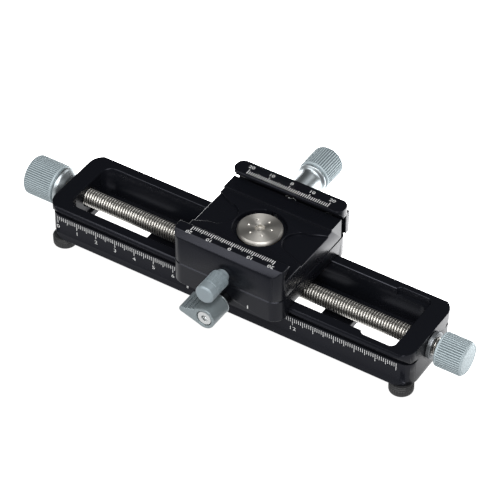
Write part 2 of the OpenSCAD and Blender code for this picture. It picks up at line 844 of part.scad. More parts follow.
module drive_nut() {
    color(bronze)
        difference() {
            translate([carriage_x, 0, nut_bottom])
                rounded_block(nut_len, nut_w, bridge_z - nut_bottom, nut_corner_r, 0, carriage_rim);
            along_x(carriage_x - nut_len / 2 - over, 0, screw_z)
                cylinder(r = thread_r + screw_fit, h = nut_len + 2 * over);
            at_nut_screws()
                translate([0, 0, bridge_z - nut_screw_in - over])
                    cylinder(r = nut_screw_r + thread_fit, h = nut_screw_in + 2 * over);
        }
}

module nut_screws() {
    color(steel)
        at_nut_screws() {
            translate([0, 0, nut_head_floor])
                difference() {
                    cylinder(r = nut_head_r, h = nut_head_h - washer_play);
                    translate([0, 0, nut_head_h - washer_play - nut_hex_depth])
                        hex_socket(nut_hex, nut_hex_depth + over);
                }
            translate([0, 0, bridge_z - nut_screw_in])
                cylinder(r = nut_screw_r, h = nut_head_floor - bridge_z + nut_screw_in);
        }
}

// Countersunk head and shank of a post screw, grown by a clearance
module post_screw(gap) {
    head_h = post_screw_head_r - post_screw_r;
    translate([0, 0, flange_floor + post_flange_t - head_h])
        cylinder(r1 = post_screw_r + gap, r2 = post_screw_head_r + gap, h = head_h);
    translate([0, 0, flange_floor - post_screw_in])
        cylinder(r = post_screw_r + gap, h = post_screw_in + post_flange_t);
}

module pivot_post() {
    color(steel)
        difference() {
            translate([carriage_x, 0, flange_floor]) {
                cylinder(r = post_flange_r, h = post_flange_t);
                cylinder(r = post_r, h = cap_z - flange_floor);
            }
            at_post_screws() post_screw(thread_fit);
            translate([carriage_x, 0, cap_z - stem_len - over])
                cylinder(r = stem_r + thread_fit, h = stem_len + 2 * over);
        }
}

module post_screws() {
    color(steel)
        at_post_screws()
            difference() {
                post_screw(0);
                translate([0, 0, flange_floor + post_flange_t - post_hex_depth])
                    hex_socket(post_hex, post_hex_depth + over);
            }
}

module pivot_cap() {
    color(steel)
        translate([carriage_x, 0, 0])
            difference() {
                union() {
                    turned([
                        [0, cap_z],
                        [cap_r, cap_z],
                        [cap_r, channel_z - cap_edge],
                        [cap_r - cap_edge, channel_z],
                        [0, channel_z]
                    ]);
                    translate([0, 0, cap_z - stem_len]) cylinder(r = stem_r, h = stem_len);
                }
                translate([0, 0, channel_z - cap_hex_depth]) hex_socket(cap_hex, cap_hex_depth + over);
                for (i = [0 : dimple_n - 1])
                    rotate(dimple_turn + i * 360 / dimple_n)
                        translate([dimple_at, 0, channel_z - dimple_r])
                            cylinder(r1 = 0, r2 = dimple_r + over, h = dimple_r + over);
            }
}

// Plug of the carriage lock, its end shaped to the flange
module lock_plug() {
    color(brass)
        difference() {
            along_y(plug_outer, carriage_x, lock_z) cylinder(r = stud_r, h = lock_plug_len - thread_fit);
            across(carriage_x - stud_r - over, 2 * (stud_r + over))
                polygon(flange_channel(lock_plug_gap, bridge_z, carriage_bottom - over));
        }
}

// Turning clamp ------------------------------------------------------------------------------

// Section of the clamp base across the rail
clamp_outline = [
    [front_y, clamp_bottom],
    [clamp_back, clamp_bottom],
    [clamp_back, land_z],
    [land_y, land_z],
    [land_y, channel_z],
    [front_lip_y - undercut, channel_z],
    [front_lip_y - undercut, jaws_top - lip_edge_h - undercut],
    [front_lip_y, jaws_top - lip_edge_h],
    [front_lip_y, jaws_top],
    [front_y + front_chamfer, jaws_top],
    [front_y, jaws_top - front_chamfer]
];

// Plan of a relief pocket that opens at the block's side, for the side at +X
module side_pocket() {
    mouth_x = block_w / 2;
    translate([mouth_x - pocket_inset, 0]) circle(r = pocket_r);
    polygon([
        [mouth_x - pocket_inset, pocket_r],
        [mouth_x + over, pocket_mouth],
        [mouth_x + over, -pocket_mouth],
        [mouth_x - pocket_inset, -pocket_r]
    ]);
}

module clamp_base() {
    color(black)
        difference() {
            intersection() {
                across(carriage_x - block_w / 2, block_w) polygon(clamp_outline);
                translate([carriage_x, 0, clamp_bottom])
                    rounded_block(block_w, block_d, jaws_top - clamp_bottom, block_corner_r);
            }
            for (side = [0, 1])
                translate([carriage_x, 0, channel_z - pocket_depth])
                    mirror([side, 0, 0]) linear_extrude(pocket_depth + over) side_pocket();
            translate([carriage_x, 0, recess_z]) cylinder(r = recess_r, h = channel_z - recess_z + over);
            translate([carriage_x, 0, clamp_bottom - over])
                cylinder(r = post_r + post_fit, h = recess_z - clamp_bottom + 2 * over);
            along_y(front_y - over, carriage_x, pan_z)
                cylinder(r = pan_screw_r + thread_fit, h = over - front_y);
            along_y(clamp_back + over, carriage_x, clamp_screw_z)
                mirror([0, 0, 1]) cylinder(r = clamp_screw_r + thread_fit, h = clamp_back - screw_tip + jaw_in + 2 * over);
            along_y(spring_foot, carriage_x, clamp_screw_z)
                cylinder(r = pocket_r_spring, h = clamp_back - spring_foot + over);
            for (x = [-1, 1])
                along_y(guide_tip - jaw_in - over, carriage_x + x * guide_spacing / 2, guide_z)
                    cylinder(r = guide_r + guide_fit, h = guide_in + jaw_in + 2 * over);
        }
}

module pivot_washer() {
    color(brass)
        translate([carriage_x, 0, recess_z])
            difference() {
                cylinder(r = cap_r - washer_in, h = washer_t);
                translate([0, 0, -over]) cylinder(r = post_r + washer_bore_gap, h = washer_t + 2 * over);
            }
}

// Plug between the pan screw and the pivot post, its end shaped to the post
module pan_plug() {
    color(brass)
        difference() {
            along_y(-post_r - pan_plug_len, carriage_x, pan_z) cylinder(r = pan_screw_r, h = pan_plug_len);
            translate([carriage_x, 0, clamp_bottom]) cylinder(r = post_r + pan_plug_gap, h = channel_h);
        }
}

pan_collar_y = front_y - pan_gap;
pan_knob_y = pan_collar_y - pan_collar_len;

module pan_screw() {
    color(steel)
        along_y(pan_knob_y - pan_screw_out, carriage_x, pan_z)
            cylinder(r = pan_screw_r, h = -post_r - pan_plug_len - pan_knob_y + pan_screw_out);
}

module pan_knob() {
    color(knob_grey)
        difference() {
            along_y(pan_collar_y, carriage_x, pan_z)
                rotate([180, 0, 0])
                    turned([
                        [0, 0],
                        [pan_collar_r, 0],
                        [pan_collar_r, pan_collar_len],
                        [pan_knob_r - knob_edge, pan_collar_len],
                        [pan_knob_r, pan_collar_len + knob_edge],
                        [pan_knob_r, pan_collar_len + pan_knurl_len],
                        [pan_knob_r - pan_groove_d, pan_collar_len + pan_knurl_len],
                        [pan_knob_r - pan_groove_d, pan_collar_len + pan_knurl_len + pan_groove_w],
                        [pan_knob_r, pan_collar_len + pan_knurl_len + pan_groove_w],
                        [pan_knob_r, pan_collar_len + pan_knob_len - knob_edge],
                        [pan_knob_r - knob_edge, pan_collar_len + pan_knob_len],
                        [0, pan_collar_len + pan_knob_len]
                    ]);
            along_y(pan_knob_y - pan_screw_out, carriage_x, pan_z)
                cylinder(r = pan_screw_r, h = pan_screw_out + pan_collar_len + over);
        }
}

// Jaw and clamp screw ------------------------------------------------------------------------

lip_w = block_w + 2 * lip_over;
jaw_x = carriage_x + jaw_shift;

// Section of the jaw's lip: flat top, chamfered edges and a 45 degree undercut
lip_outline = [
    [jaw_back, jaws_top - lip_h],
    [jaw_back, jaws_top - lip_back_rim],
    [jaw_back - lip_back_rim, jaws_top],
    [lip_front + lip_rim, jaws_top],
    [lip_front, jaws_top - lip_rim],
    [lip_front, jaws_top - lip_edge_h],
    [lip_front + lip_undercut, jaws_top - lip_edge_h - lip_undercut],
    [lip_front + lip_undercut, jaws_top - lip_h]
];

module jaw() {
    color(black)
        difference() {
            union() {
                intersection() {
                    across(jaw_x - lip_w / 2, lip_w) polygon(lip_outline);
                    translate([jaw_x, (lip_front + jaw_back) / 2, jaws_top - lip_h])
                        rounded_block(lip_w, jaw_back - lip_front, lip_h, lip_corner_r);
                }
                across(jaw_x - block_w / 2, block_w)
                    polygon([
                        [jaw_front, jaw_bottom],
                        [jaw_back, jaw_bottom],
                        [jaw_back, jaws_top - lip_h],
                        [lip_front + lip_undercut, jaws_top - lip_h],
                        [lip_front + lip_undercut, land_z + lip_gap],
                        [jaw_front, land_z + lip_gap]
                    ]);
            }
            along_y(jaw_front - over, carriage_x, clamp_screw_z)
                cylinder(r = clamp_screw_r + jaw_hole_gap, h = jaw_t + 2 * over);
            for (x = [-1, 1])
                along_y(jaw_front - over, carriage_x + x * guide_spacing / 2, guide_z)
                    cylinder(r = guide_r, h = jaw_t + 2 * over);
        }
}

module guide_pins() {
    color(steel)
        for (x = [-1, 1])
            along_y(guide_tip, carriage_x + x * guide_spacing / 2, guide_z)
                cylinder(r = guide_r, h = jaw_back - guide_tip);
}

module jaw_washer() {
    color(steel)
        along_y(jaw_back, carriage_x, clamp_screw_z)
            difference() {
                cylinder(r = jaw_washer_r, h = jaw_washer_t - washer_play);
                translate([0, 0, -over]) cylinder(r = clamp_screw_r + jaw_hole_gap, h = jaw_washer_t + 2 * over);
            }
}

module clamp_screw() {
    color(steel)
        along_y(screw_tip, carriage_x, clamp_screw_z)
            cylinder(r = clamp_screw_r, h = clamp_barrel + clamp_screw_out - screw_tip);
}

module clamp_knob() {
    ring_start = clamp_neck_len - clamp_ring_w;
    color(knob_grey)
        along_y(clamp_knob_front, carriage_x, clamp_screw_z)
            difference() {
                turned(concat(
                    [
                        [0, 0],
                        [clamp_neck_r, 0],
                        [clamp_neck_r, clamp_straight_len],
                        [clamp_ring_r - clamp_ring_edge, ring_start],
                        [clamp_ring_r, ring_start + clamp_ring_edge],
                        [clamp_ring_r, clamp_neck_len]
                    ],
                    [
                        for (p = barrel_outline(clamp_knob_r, clamp_knob_len))
                            [p[0], p[1] + clamp_neck_len]
                    ]
                ));
                translate([0, 0, -over]) cylinder(r = clamp_screw_r, h = clamp_neck_len + clamp_screw_out + over);
            }
}

// Spring round the clamp screw: one tube of six-sided rings along a helix
curl_rings = 8;
wire_sides = 6;
ring_n = curls * curl_rings;
curl_run = spring_len - 2 * wire_r;
function curl_point(i) = [
    curl_r * cos(360 * i / curl_rings),
    curl_r * sin(360 * i / curl_rings),
    wire_r + curl_run * i / ring_n
];
function ring_point(i, k) = let (turn = 360 * i / curl_rings, around = 360 * k / wire_sides)
    curl_point(i) + wire_r * [cos(around) * cos(turn), cos(around) * sin(turn), sin(around)];
spring_points = [for (i = [0 : ring_n], k = [0 : wire_sides - 1]) ring_point(i, k)];
spring_faces = concat(
    [[for (k = [0 : wire_sides - 1]) k]],
    [
        for (i = [0 : ring_n - 1], k = [0 : wire_sides - 1])
            let (a = i * wire_sides, b = (k + 1) % wire_sides)
                each [
                    [a + k, a + wire_sides + k, a + b],
                    [a + b, a + wire_sides + k, a + wire_sides + b]
                ]
    ],
    [[for (k = [wire_sides - 1 : -1 : 0]) ring_n * wire_sides + k]]
);

// Least gap of the spring to itself, measured between points of neighbouring curls
spring_self_gap = min([
    for (i = [0 : ring_n - curl_rings], j = [i + curl_rings / 2 : i + curl_rings])
        if (j <= ring_n)
            min([for (a = [0 : wire_sides - 1], b = [0 : wire_sides - 1]) norm(ring_point(i, a) - ring_point(j, b))])
]);

module jaw_spring() {
    echo(jaw_spring_least_self_gap = spring_self_gap);
    color(steel)
        along_y(spring_foot, carriage_x, clamp_screw_z)
            polyhedron(spring_points, spring_faces, convexity = 10);
}

// Carriage lock ------------------------------------------------------------------------------

module lever_stud() {
    color(steel)
        difference() {
            along_y(plug_outer - washer_play, carriage_x, lock_z)
                rotate([180, 0, 0])
                    turned([
                        [0, 0],
                        [stud_r, 0],
                        [stud_r, plug_outer - washer_play - shoulder_y],
                        [stud_shoulder_r, plug_outer - washer_play - shoulder_y],
                        [stud_shoulder_r, plug_outer - washer_play - washer_y],
                        [spline_r, plug_outer - washer_play - washer_y],
                        [spline_r, plug_outer - washer_play - head_foot],
                        [0, plug_outer - washer_play - head_foot]
                    ]);
            along_y(head_foot - over, carriage_x, lock_z)
                cylinder(r = cap_shank_r + thread_fit, h = cap_shank_len + 2 * over);
        }
}

module lever_washer() {
    color(steel)
        along_y(washer_y - lever_washer_t, carriage_x, lock_z)
            difference() {
                cylinder(r = lever_washer_r, h = lever_washer_t);
                translate([0, 0, -over]) cylinder(r = spline_r, h = lever_washer_t + 2 * over);
            }
}

module lever_cap_screw() {
    color(steel)
        along_y(head_y, carriage_x, lock_z)
            difference() {
                union() {
                    cylinder(r = cap_head_r, h = cap_head_h);
                    cylinder(r = cap_shank_r, h = cap_head_h + cap_shank_len);
                }
                translate([0, 0, -over]) hex_socket(cap_socket, cap_socket_depth + over);
            }
}

// Spring between the cap screw's head and the lever's ledge, as a plain sleeve
module lever_spring() {
    inner_r = spline_r + spline_fit;
    color(steel)
        along_y(head_foot, carriage_x, lock_z)
            difference() {
                cylinder(r = inner_r + lever_spring_wall, h = ledge_y - head_foot);
                translate([0, 0, -over]) cylinder(r = inner_r, h = ledge_y - head_foot + 2 * over);
            }
}

// Outline of the lever in (X, Z): hub, tapered arm and round tip
module lever_outline() {
    taper = asin((hub_r - lever_tip_r) / lever_reach);
    side = [-sin(taper), cos(taper)];
    circle(r = hub_r);
    translate([-lever_reach, 0]) circle(r = lever_tip_r);
    polygon([
        (hub_r - arm_set) * side,
        [-lever_reach, 0] + (lever_tip_r - arm_set) * side,
        [-lever_reach, 0] + (lever_tip_r - arm_set) * [side[0], -side[1]],
        (hub_r - arm_set) * [side[0], -side[1]]
    ]);
}

module lock_lever() {
    arm_groove_start = -lever_reach - lever_tip_r + arm_tip_land;
    arm_rise = (hub_r - lever_tip_r) / lever_reach;
    color(knob_grey)
        difference() {
            translate([carriage_x, lever_y, lock_z]) rotate([90, 0, 0]) linear_extrude(lever_d) lever_outline();
            along_y(lever_end - over, carriage_x, lock_z) cylinder(r = spline_r + spline_fit, h = lever_d + 2 * over);
            along_y(lever_end - over, carriage_x, lock_z) cylinder(r = counterbore_r, h = counterbore_depth + over);
            for (i = [0 : arm_groove_n - 1])
                translate([
                    carriage_x + arm_groove_start + i * arm_groove_pitch,
                    lever_end - over,
                    lock_z + lever_tip_r - arm_groove_depth
                        + (i * arm_groove_pitch + arm_tip_land - lever_tip_r) * arm_rise
                ])
                    cube([arm_groove_w, lever_d + 2 * over, hub_r]);
        }
}

rail_frame();
feet();
foot_studs();
bush_left();
bush_right();
lead_screw();
knob_left();
knob_right();
thrust_collar();
knob_screws();
carriage_block();
drive_nut();
nut_screws();
pivot_post();
post_screws();
pivot_cap();
lock_plug();
clamp_base();
pivot_washer();
pan_plug();
pan_screw();
pan_knob();
jaw();
guide_pins();
jaw_washer();
jaw_spring();
clamp_screw();
clamp_knob();
lever_stud();
lever_washer();
lever_cap_screw();
lever_spring();
lock_lever();
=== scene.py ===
"""Looks of a macro focusing rail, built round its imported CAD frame.

Every length in a dataclass field is in millimetres, unless its name or comment says otherwise.
Blender's own units are metres, and MM turns one into the other.
"""

import logging
import math
from dataclasses import dataclass
from enum import Enum
from typing import Callable, Sequence

import bmesh
import bpy
from mathutils import Matrix, Vector
from mathutils.bvhtree import BVHTree
from mathutils.kdtree import KDTree


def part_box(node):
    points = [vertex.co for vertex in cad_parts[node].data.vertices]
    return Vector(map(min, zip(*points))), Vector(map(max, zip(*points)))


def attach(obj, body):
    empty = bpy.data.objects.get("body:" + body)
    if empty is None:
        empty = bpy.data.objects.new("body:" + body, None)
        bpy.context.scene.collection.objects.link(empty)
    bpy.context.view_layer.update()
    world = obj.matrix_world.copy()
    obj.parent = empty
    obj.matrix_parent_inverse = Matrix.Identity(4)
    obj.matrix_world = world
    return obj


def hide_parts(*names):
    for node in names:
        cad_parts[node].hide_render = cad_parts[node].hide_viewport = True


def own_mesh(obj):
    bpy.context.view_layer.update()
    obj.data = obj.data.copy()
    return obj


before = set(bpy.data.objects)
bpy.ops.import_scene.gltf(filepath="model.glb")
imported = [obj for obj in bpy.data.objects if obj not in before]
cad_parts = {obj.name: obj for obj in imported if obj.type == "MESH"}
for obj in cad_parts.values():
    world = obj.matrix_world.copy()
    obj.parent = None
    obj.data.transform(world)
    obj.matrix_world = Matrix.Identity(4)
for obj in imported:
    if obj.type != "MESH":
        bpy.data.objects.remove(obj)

MM = 0.001
TAU = 2 * math.pi
LOG = logging.getLogger("focusing_rail")

Point = tuple[float, float]
Span = tuple[float, float]
Triple = tuple[float, float, float]
Relief = Callable[[float, float, float], float]
Socket = bpy.types.NodeSocket
Settings = dict[str | int, object]
Links = dict[str | int, Socket]


class Axis(Enum):
    """Direction in which a turned piece is drawn, from its outer end."""

    PLUS_X = Vector((1, 0, 0))
    MINUS_X = Vector((-1, 0, 0))
    PLUS_Y = Vector((0, 1, 0))
    MINUS_Y = Vector((0, -1, 0))
    PLUS_Z = Vector((0, 0, 1))


class Lay(Enum):
    """How a scale's print lies: its reading direction and its upward direction."""

    ON_FRONT = (Vector((1, 0, 0)), Vector((0, 0, 1)))
    ON_TOP_FROM_FRONT = (Vector((1, 0, 0)), Vector((0, 1, 0)))
    ON_TOP_FROM_BACK = (Vector((-1, 0, 0)), Vector((0, -1, 0)))


# Materials --------------------------------------------------------------------------------


# The curve from sRGB to linear light
SRGB_KNEE, SRGB_SLOPE, SRGB_OFFSET, SRGB_POWER = 0.04045, 12.92, 0.055, 2.4
# Sockets of the mix node in its colour mode
MIX_SHARE, MIX_FIRST, MIX_SECOND, MIX_RESULT = 0, 6, 7, 2
# The wave texture repeats at this length over its scale
WAVE_REPEAT = TAU / 20
# Below this share of metal, the skin's gloss is that of a dielectric
MOSTLY_METAL = 0.5
WHITE = "#ffffff"


def linear(colour: str) -> tuple[float, float, float, float]:
    """Turns an sRGB hex colour into linear RGBA.

    Args:
        colour: The colour as "#rrggbb".

    Returns:
        The linear colour with an alpha of 1.
    """
    channels = [int(colour[i : i + 2], 16) / 255 for i in (1, 3, 5)]
    light = (
        c / SRGB_SLOPE if c <= SRGB_KNEE else ((c + SRGB_OFFSET) / (1 + SRGB_OFFSET)) ** SRGB_POWER
        for c in channels
    )
    return (*light, 1.0)


def pattern_scale(size_mm: float) -> float:
    """Returns the texture scale at which a pattern repeats every size_mm."""
    return 1 / (size_mm * MM)


class Recipe:
    """A material in the making, with its principled shader and its object coordinates."""

    def __init__(self, name: str) -> None:
        """Starts a node material.

        Args:
            name: The material's name.
        """
        self.material = bpy.data.materials.new(name)
        self.material.use_nodes = True
        self.tree = self.material.node_tree
        self.tree.nodes.clear()
        self.shader = self.add_node("ShaderNodeBsdfPrincipled")
        self.add_node("ShaderNodeOutputMaterial", links={"Surface": self.shader.outputs["BSDF"]})
        self.place = self.add_node("ShaderNodeTexCoord").outputs["Object"]

    def add_node(
        self, kind: str, settings: Settings | None = None, links: Links | None = None
    ) -> bpy.types.Node:
        """Adds a shader node with its settings and links.

        Args:
            kind: The node's type name.
            settings: Values for its input sockets, by name or index, or for its properties.
            links: The output socket that each named input takes its value from.

        Returns:
            The new node.
        """
        node = self.tree.nodes.new(kind)
        for key, value in (settings or {}).items():
            if isinstance(key, int) or key in node.inputs:
                node.inputs[key].default_value = value
            else:
                setattr(node, key, value)
        for key, source in (links or {}).items():
            self.tree.links.new(source, node.inputs[key])
        return node

    def set(self, constants: dict[str, object]) -> None:
        """Sets constants on the shader's sockets, by name."""
        for name, value in constants.items():
            self.shader.inputs[name].default_value = value

    def feed(self, name: str, source: Socket) -> None:
        """Links a pattern to one of the shader's sockets."""
        self.tree.links.new(source, self.shader.inputs[name])


@dataclass(frozen=True)
class Finish:
    """A surface: its real material and the way it was made."""

    name: str
    colour: str
    roughness: float

    def material(self) -> bpy.types.Material:
        """Returns the finish as a material, made at its first use."""
        if self.name not in bpy.data.materials:
            self.shade(Recipe(self.name))
        return bpy.data.materials[self.name]

    def shade(self, recipe: Recipe) -> None:
        """Sets the recipe's shader and patterns."""
        raise NotImplementedError

    def waver(self, recipe: Recipe, patch_mm: float, detail: float, reach: float) -> None:
        """Lets the gloss waver in soft patches, as handling and the bath leave it.

        Args:
            recipe: The material in the making.
            patch_mm: The patches' size.
            detail: How fine their edges are.
            reach: How far the roughness goes to both sides.
        """
        patches = recipe.add_node(
            "ShaderNodeTexNoise",
            {"Scale": pattern_scale(patch_mm), "Detail": detail},
            {"Vector": recipe.place},
        )
        gloss = recipe.add_node(
            "ShaderNodeMapRange",
            {"To Min": self.roughness - reach, "To Max": self.roughness + reach},
            {"Value": patches.outputs["Fac"]},
        )
        recipe.feed("Roughness", gloss.outputs["Result"])


@dataclass(frozen=True)
class BlastedAnodised(Finish):
    """Bead-blasted and anodised aluminium: an even satin skin with a fine grain."""

    metallic: float
    grain_mm: float = 0.5
    grain_detail: float = 3.0
    grain_depth_mm: float = 0.004
    grain_strength: float = 0.5
    cloud_mm: float = 14.0
    cloud_detail: float = 2.0
    cloud_reach: float = 0.03
    ior: float = 1.47
    specular: float = 0.25
    gloss_tint: str = WHITE

    def shade(self, recipe: Recipe) -> None:
        """Sets the recipe's shader and patterns.

        Args:
            recipe: The material in the making.
        """
        # The blasting's real grit is about 0.1 mm; it is drawn coarser, so that it shows at all
        grain = recipe.add_node(
            "ShaderNodeTexNoise",
            {"Scale": pattern_scale(self.grain_mm), "Detail": self.grain_detail},
            {"Vector": recipe.place},
        )
        bump = recipe.add_node(
            "ShaderNodeBump",
            {"Strength": self.grain_strength, "Distance": self.grain_depth_mm * MM},
            {"Height": grain.outputs["Fac"]},
        )
        recipe.set({"Base Color": linear(self.colour), "Metallic": self.metallic})
        if self.metallic < MOSTLY_METAL:
            recipe.set({"IOR": self.ior, "Specular IOR Level": self.specular})
            recipe.set({"Specular Tint": linear(self.gloss_tint)})
        self.waver(recipe, self.cloud_mm, self.cloud_detail, self.cloud_reach)
        recipe.feed("Normal", bump.outputs["Normal"])


@dataclass(frozen=True)
class ToolMarks:
    """The lines or rings that a lathe's tool leaves."""

    # Real marks are about 0.1 mm apart; they are drawn coarser, so that they show at all
    repeat_mm: float = 1.38
    depth_mm: float = 0.004
    detail: float = 2.0
    distortion: float = 1.5
    strength: float = 0.4

    def cut(self, recipe: Recipe, place: Socket, shape: Settings) -> None:
        """Marks the recipe's surface.

        Args:
            recipe: The material in the making.
            place: The coordinates that the marks lie in.
            shape: The wave's type and direction.
        """
        scale = WAVE_REPEAT * pattern_scale(self.repeat_mm)
        marks = recipe.add_node(
            "ShaderNodeTexWave",
            {**shape, "Scale": scale, "Distortion": self.distortion, "Detail": self.detail},
            {"Vector": place},
        )
        bump = recipe.add_node(
            "ShaderNodeBump",
            {"Strength": self.strength, "Distance": self.depth_mm * MM},
            {"Height": marks.outputs["Fac"]},
        )
        recipe.feed("Normal", bump.outputs["Normal"])


@dataclass(frozen=True)
class TurnedMetal(Finish):
    """Metal from the lathe: fine lines across its axis and a few faint stains in the gloss."""

    axis: str
    marks: ToolMarks = ToolMarks()
    stain_mm: float = 3.0
    stain_detail: float = 3.0
    stain_reach: float = 0.06

    def shade(self, recipe: Recipe) -> None:
        """Sets the recipe's shader and patterns.

        Args:
            recipe: The material in the making.
        """
        recipe.set({"Base Color": linear(self.colour), "Metallic": 1.0})
        self.waver(recipe, self.stain_mm, self.stain_detail, self.stain_reach)
        self.marks.cut(recipe, recipe.place, {"wave_type": "BANDS", "bands_direction": self.axis})


@dataclass(frozen=True)
class FacedSteel(Finish):
    """Stainless steel faced on the lathe: rings round the centre pull the gloss into two fans."""

    anisotropy: float
    centre: Triple
    marks: ToolMarks = ToolMarks(1.78, 0.003, 1.0, 0.6)

    def shade(self, recipe: Recipe) -> None:
        """Sets the recipe's shader and patterns.

        Args:
            recipe: The material in the making.
        """
        centred = recipe.add_node(
            "ShaderNodeVectorMath",
            {"operation": "SUBTRACT", 1: Vector(self.centre) * MM},
            {0: recipe.place},
        ).outputs["Vector"]
        outward = recipe.add_node(
            "ShaderNodeVectorMath", {"operation": "MULTIPLY", 1: (1, 1, 0)}, {0: centred}
        )
        tangent = recipe.add_node(
            "ShaderNodeVectorMath", {"operation": "NORMALIZE"}, {0: outward.outputs["Vector"]}
        )
        recipe.set({"Base Color": linear(self.colour), "Metallic": 1.0})
        recipe.set({"Roughness": self.roughness, "Anisotropic": self.anisotropy})
        recipe.feed("Tangent", tangent.outputs["Vector"])
        self.marks.cut(recipe, centred, {"wave_type": "RINGS", "rings_direction": "Z"})


@dataclass(frozen=True)
class Mottled(Finish):
    """A matt skin whose colour wavers between two."""

    second_colour: str
    patch_mm: float
    patch_detail: float
    patch_depth_mm: float = 0.0
    patch_strength: float = 0.3

    def shade(self, recipe: Recipe) -> None:
        """Sets the recipe's shader and patterns.

        Args:
            recipe: The material in the making.
        """
        patches = recipe.add_node(
            "ShaderNodeTexNoise",
            {"Scale": pattern_scale(self.patch_mm), "Detail": self.patch_detail},
            {"Vector": recipe.place},
        ).outputs["Fac"]
        first, second = linear(self.colour), linear(self.second_colour)
        mix = recipe.add_node(
            "ShaderNodeMix",
            {"data_type": "RGBA", MIX_FIRST: first, MIX_SECOND: second},
            {MIX_SHARE: patches},
        )
        recipe.feed("Base Color", mix.outputs[MIX_RESULT])
        recipe.set({"Roughness": self.roughness})
        if self.patch_depth_mm:
            bump = recipe.add_node(
                "ShaderNodeBump",
                {"Strength": self.patch_strength, "Distance": self.patch_depth_mm * MM},
                {"Height": patches},
            )
            recipe.feed("Normal", bump.outputs["Normal"])


# Bead-blasted aluminium, dyed black: a satin skin that hardly mirrors, with a cool gloss
BLACK_ANODISED = BlastedAnodised(
    "black_anodised_aluminium", "#0c0d11", 0.28, 0.0, gloss_tint="#dcdeee"
)
# The same in grey: the knobs' pale matt skin, and a darker copy that paints the shade into the
# valleys between their ribs and knurls
GREY_ANODISED = BlastedAnodised("grey_anodised_aluminium", "#98a3a7", 0.5, 0.3, grain_mm=0.4)
PAINTED_VALLEY_SHADE = BlastedAnodised("grey_anodised_painted_valley_shade", "#636d71", 0.6, 0.2, grain_mm=0.4)
# Darker greys of the small knob and the lever, which are a little glossier
PAN_ANODISED = BlastedAnodised("mid_grey_anodised_aluminium", "#7f898e", 0.45, 0.4, grain_mm=0.4)
LEVER_ANODISED = BlastedAnodised("dark_grey_anodised_aluminium", "#788184", 0.4, 0.5, grain_mm=0.4)
# Turned and polished necks and the collar: broad soft bands of light
POLISHED_X = TurnedMetal("polished_aluminium_along_rail", "#a6adb0", 0.4, "X", ToolMarks(2.37))
SATIN_X = TurnedMetal("satin_steel_along_rail", "#85898c", 0.45, "X", ToolMarks(2.37))
POLISHED_Y = TurnedMetal("polished_aluminium_across_rail", "#a6adb0", 0.42, "Y", ToolMarks(2.37))
# A rolled thread has bright smooth crests, without turning lines; a darker steel paints the shade
# in its roots
STEEL_X = TurnedMetal("rolled_thread_steel", "#d9d7d2", 0.36, "X", ToolMarks(depth_mm=0.0))
PAINTED_ROOT_SHADE = TurnedMetal("steel_painted_shade_in_thread_root", "#6e6c68", 0.5, "X", ToolMarks(1.97))
# Turned screws, pins and springs: bright, and one blackened by heat and oil
STEEL_Y = TurnedMetal("turned_steel_across_rail", "#c6c8c8", 0.28, "Y")
STEEL_Z = TurnedMetal("turned_steel_upright", "#c6c8c8", 0.28, "Z")
DARK_STEEL_Y = TurnedMetal("blackened_steel_across_rail", "#35373a", 0.35, "Y")
# Turned brass is yellow and machined bronze browner; both keep a plain sheen
BRASS = TurnedMetal("turned_brass", "#c2a14c", 0.3, "Z")
BRONZE = TurnedMetal("machined_bronze", "#a9824a", 0.35, "X")
# Screen-printed and baked ink: matt white, a little thin in places
INK = Mottled("white_screen_print", "#cbcbca", 0.6, "#b4b5b6", 0.8, 2.0)
# Moulded nitrile rubber: matt black, with a faint bloom
RUBBER = Mottled("moulded_rubber", "#0b0b0c", 0.55, "#161618", 1.2, 4.0, patch_depth_mm=0.02)


# Meshes -----------------------------------------------------------------------------------


# Corners of a turned mesh and of a CAD mesh that are closer than this are one corner
TURNED_WELD, CAD_WELD = 0.0005, 0.002
# Edges of the CAD mesh that are flatter than this are left out before its edges are broken
FLAT_DEG = 0.2
# An edge sharper than this is broken, by this number of steps
BROKEN_DEG, EDGE_STEPS = 50.0, 2
# How far a broken edge may leave the surface, as a share of its width
STRAY_SHARE = 0.6
# A triangle strays where it turns from the surface below this cosine, unless it is tiny
STRAY_COSINE, TINY_AREA = 0.3, 0.005
# The area in square millimetres that may stray, and the tries at getting there
STRAY_AREA, EDGE_TRIES = 0.1, 6
# How near a stray spot an edge stays plain, in widths of the broken edge
PLAIN_REACH = 2
# Steps round the axis for each rib
RIB_STEPS = 8
# The most of an outline's side that the rounding of one corner takes
SIDE_SHARE = 0.45
# A point that no edge comes near, in metres
NOWHERE = Vector((9.0, 9.0, 9.0))


def link(thing: bpy.types.Object) -> bpy.types.Object:
    """Links an object to the scene and returns it."""
    bpy.context.scene.collection.objects.link(thing)
    return thing


def sealed(shell: bmesh.types.BMesh, name: str) -> bpy.types.Mesh:
    """Turns an edit mesh into a mesh.

    Args:
        shell: The edit mesh, which is freed.
        name: The mesh's name.

    Returns:
        The mesh.
    """
    mesh = bpy.data.meshes.new(name)
    shell.to_mesh(mesh)
    shell.free()
    return mesh


def final_mesh(thing: bpy.types.Object) -> bpy.types.Mesh:
    """Takes an object's mesh, with its modifiers applied, and removes the object.

    Args:
        thing: The object, not yet linked.

    Returns:
        The mesh.
    """
    link(thing)
    bpy.context.view_layer.update()
    shown = thing.evaluated_get(bpy.context.evaluated_depsgraph_get())
    mesh = bpy.data.meshes.new_from_object(shown)
    bpy.data.objects.remove(thing)
    return mesh


